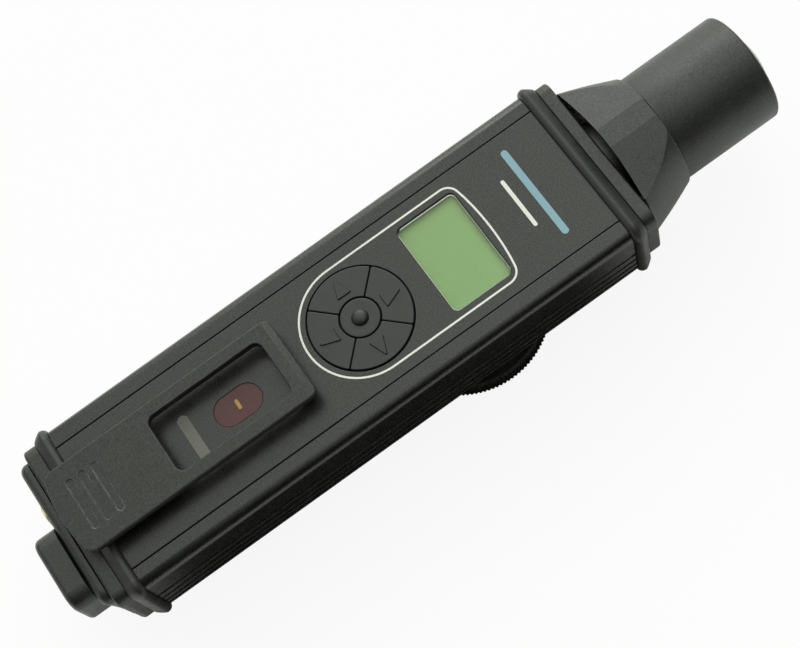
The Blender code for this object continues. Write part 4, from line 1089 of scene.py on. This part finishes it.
# height, radius inside the rim, knurl depth (None for a plain circle)
REAR_LEVELS = [(0.0, 1.5, None), (0.25, 1.05, None), (0.75, 0.55, 0.15), (1.25, 0.0, 0.42),
               (REAR_T - 1.0, 0.0, 0.42), (REAR_T - 0.55, 0.45, 0.2),
               (REAR_T - 0.15, 0.85, None), (REAR_T, 1.05, None)]
make("rear_knurled_cover",
     stack("Z", [(height, [knurl(REAR_R - inside, depth) if depth
                           else circle(REAR_R - inside, KNURLS * len(KNURL_SHAPE))])
                 for height, inside, depth in REAR_LEVELS]),
     "cap", "rear_cap", sharp=30, body="rear_cap",
     cuts=[(CUT, turned("Z", (0, 0), [(0, 2.2), (24.8, 2.2), (24.8, REAR_T - 0.3),
                                      (25.1, REAR_T + 0.01), (25.1, REAR_T + 2),
                                      (0, REAR_T + 2)], 160))])
RING_TOP, RING_STEP = BACK - GAP, 8.5
make("rear_housing_ring",
     turned("Z", (0, 0), [(25.4, RING_TOP), (REAR_BORE, RING_TOP), (REAR_BORE, 13.0),
                          (21.0, 13.0), (21.0, 4.0), (24.3, 4.0), (24.4, 4.1),
                          (24.4, RING_STEP), (25.4, RING_STEP), (25.55, RING_STEP + 0.06),
                          (25.6, RING_STEP + 0.2), (25.6, RING_TOP - 0.2),
                          (25.55, RING_TOP - 0.06)], 160),
     "cap", "rear_boss",
     cuts=[(CUT, rod("Z", 11.5, RING_TOP + 2, 1.1, 24, x, y)) for x, y in REAR_SCREWS])

# ---- CAD pieces that stay get a real finish; any not listed are black -------
KEPT = {
    "clip_bracket": "steel", "clip_pin": "steel", "clip_spring": "steel",
    "head_seal": "rubber", "scintillator": "crystal", "preamp_board": "board",
    "battery": "cell", "battery_spring": "steel", "battery_contact": "brass",
    "main_board": "board", "vibration_motor": "steel", "flex_cable": "flex",
    "gm_tube": "steel", "rear_seal": "rubber", "filter_disc": "steel",
    "rear_screw_1": "steel", "rear_screw_2": "steel", "rear_screw_3": "steel",
    "rear_screw_4": "steel",
}
for name, ob in NODES.items():
    if ob.hide_render:
        continue
    ob.data.materials.clear()
    ob.data.materials.append(MATERIALS[KEPT.get(name, "black_part")])
    for face in ob.data.polygons:
        face.material_index = 0


# ---- floor (from here on in metres) -----------------------------------------
def floor_material():
    """Pale floor, seen by the camera as nearly white and clear from below."""
    material = bpy.data.materials.new("floor_pale")
    graph = Graph(material, "OutputMaterial")
    where = graph.add("TexCoord").outputs["Object"]
    drift = graph.noise(where, size=60.0)
    diffuse = graph.add("BsdfDiffuse")
    rays = graph.add("LightPath").outputs
    pale = graph.mix(drift, (0.80, 0.80, 0.80), (0.83, 0.83, 0.83))
    # the oval of floor at the case's +X side lies in deep shade, as seen by reflections
    offset = graph.vector("SUBTRACT", where, (0.050, -0.040, 0.0))
    scaled = graph.vector("MULTIPLY", offset, (1 / 0.045, 1 / 0.098, 0.0))
    far = graph.remap(graph.vector("LENGTH", scaled), span=(0.75, 1.25), to=(0.0, 1.0),
                      smooth=True)
    shade = graph.mix(far, (0.05, 0.05, 0.05), (1.25, 1.25, 1.25))
    graph.feed(diffuse, {"Color": graph.mix(rays["Is Glossy Ray"], pale, shade)})
    glow = graph.add("Emission", {"Color": (1.0, 1.0, 1.0, 1.0), "Strength": 1.0})
    seen = graph.math("MULTIPLY", rays["Is Camera Ray"], 0.90)
    top = graph.mix_shader(seen, diffuse, glow)
    clear = graph.add("BsdfTransparent")
    below = graph.add("NewGeometry").outputs["Backfacing"]
    graph.feed(graph.end, {0: graph.mix_shader(below, top, clear).outputs[0]})
    return material


FLOOR_HALF, FLOOR_Z = 3.0, -0.0002
bm = bmesh.new()
bm.faces.new([bm.verts.new((x * FLOOR_HALF, y * FLOOR_HALF, FLOOR_Z))
              for x, y in ((-1, -1), (1, -1), (1, 1), (-1, 1))])
floor = mesh_object("floor", bm)
floor.data.materials.append(floor_material())

# ---- world and light --------------------------------------------------------
# soft round lights in the sky: direction, half angles of core and rim in degrees, level
SKY_LIGHTS = [((-0.62, 0.28, 0.74), 20, 62, 1.72), ((-0.90, 0.34, 0.28), 12, 46, 1.0),
              ((0.22, 0.22, 0.95), 2, 38, 0.85), ((-0.20, -0.88, 0.43), 10, 40, 0.85)]
SKY_BASE = 0.015


def build_world():
    world = bpy.data.worlds.new("studio")
    bpy.context.scene.world = world
    graph = Graph(world, "OutputWorld")
    sky = graph.add("Background", {"Color": (0.965, 1.0, 0.93, 1.0)})
    where = graph.add("TexCoord").outputs["Generated"]
    total = None
    for direction, core, rim, level in SKY_LIGHTS:
        facing = graph.vector("DOT_PRODUCT", where, Vector(direction).normalized())
        light = graph.remap(facing, span=(cos(radians(rim)), cos(radians(core))),
                            to=(0.0, level), smooth=True)
        total = graph.math("ADD", total, light) if total else light
    graph.feed(sky, {"Strength": graph.math("ADD", total, SKY_BASE)})
    plain = graph.add("Background", {"Color": (0.97, 0.97, 0.97, 1.0)})
    seen = graph.add("LightPath").outputs["Is Camera Ray"]
    graph.feed(graph.end, {0: graph.mix_shader(seen, sky, plain).outputs[0]})


def build_softbox():
    size, radiance, distance = 1.2, 2.0, 2.6
    target = Vector((0.0, -0.01, 0.03))
    at = target + Vector((-0.72, 0.40, 0.57)).normalized() * distance
    light = bpy.data.lights.new("softbox_left", "AREA")
    light.shape = "RECTANGLE"
    light.size = size
    light.size_y = size
    light.energy = radiance * pi * size * size
    light.color = (0.97, 1.0, 0.95)
    softbox = add_object("softbox_left", light)
    softbox.location = at
    softbox.rotation_mode = "QUATERNION"
    softbox.rotation_quaternion = (target - at).to_track_quat("-Z", "Y")


build_world()
build_softbox()

# ---- camera -----------------------------------------------------------------
CAMERA_AT = (0.19820187, -0.04155958, 0.55233796)
# roll of the picture, then the turns about Y, X and Z, in radians
ROLL = radians(35.6)
TURN_Y, TURN_X, TURN_Z = 0.35893518258727275, -0.039277024881833336, -0.0013909414670781927


def build_camera():
    data = bpy.data.cameras.new("camera")
    data.sensor_width = 36.0
    data.lens = 83.3971137
    data.clip_start = 0.01
    data.clip_end = 20.0
    camera = add_object("camera", data)
    about_y = Matrix(((cos(TURN_Y), 0, -sin(TURN_Y)), (0, 1, 0), (sin(TURN_Y), 0, cos(TURN_Y))))
    about_x = Matrix(((1, 0, 0), (0, cos(TURN_X), -sin(TURN_X)), (0, sin(TURN_X), cos(TURN_X))))
    about_z = Matrix(((cos(TURN_Z), -sin(TURN_Z), 0), (sin(TURN_Z), cos(TURN_Z), 0), (0, 0, 1)))
    turn = (about_z @ about_x @ about_y).transposed()
    right = turn @ Vector((sin(ROLL), cos(ROLL), 0))
    up = turn @ Vector((-cos(ROLL), sin(ROLL), 0))
    backward = turn @ Vector((0, 0, 1))
    axes = Matrix((right, up, backward)).transposed()
    camera.matrix_world = Matrix.Translation(CAMERA_AT) @ axes.to_4x4()
    bpy.context.scene.camera = camera


build_camera()
view = bpy.context.scene.view_settings
view.view_transform = "Standard"
view.look = "None"
view.exposure = 0.0
view.gamma = 1.0
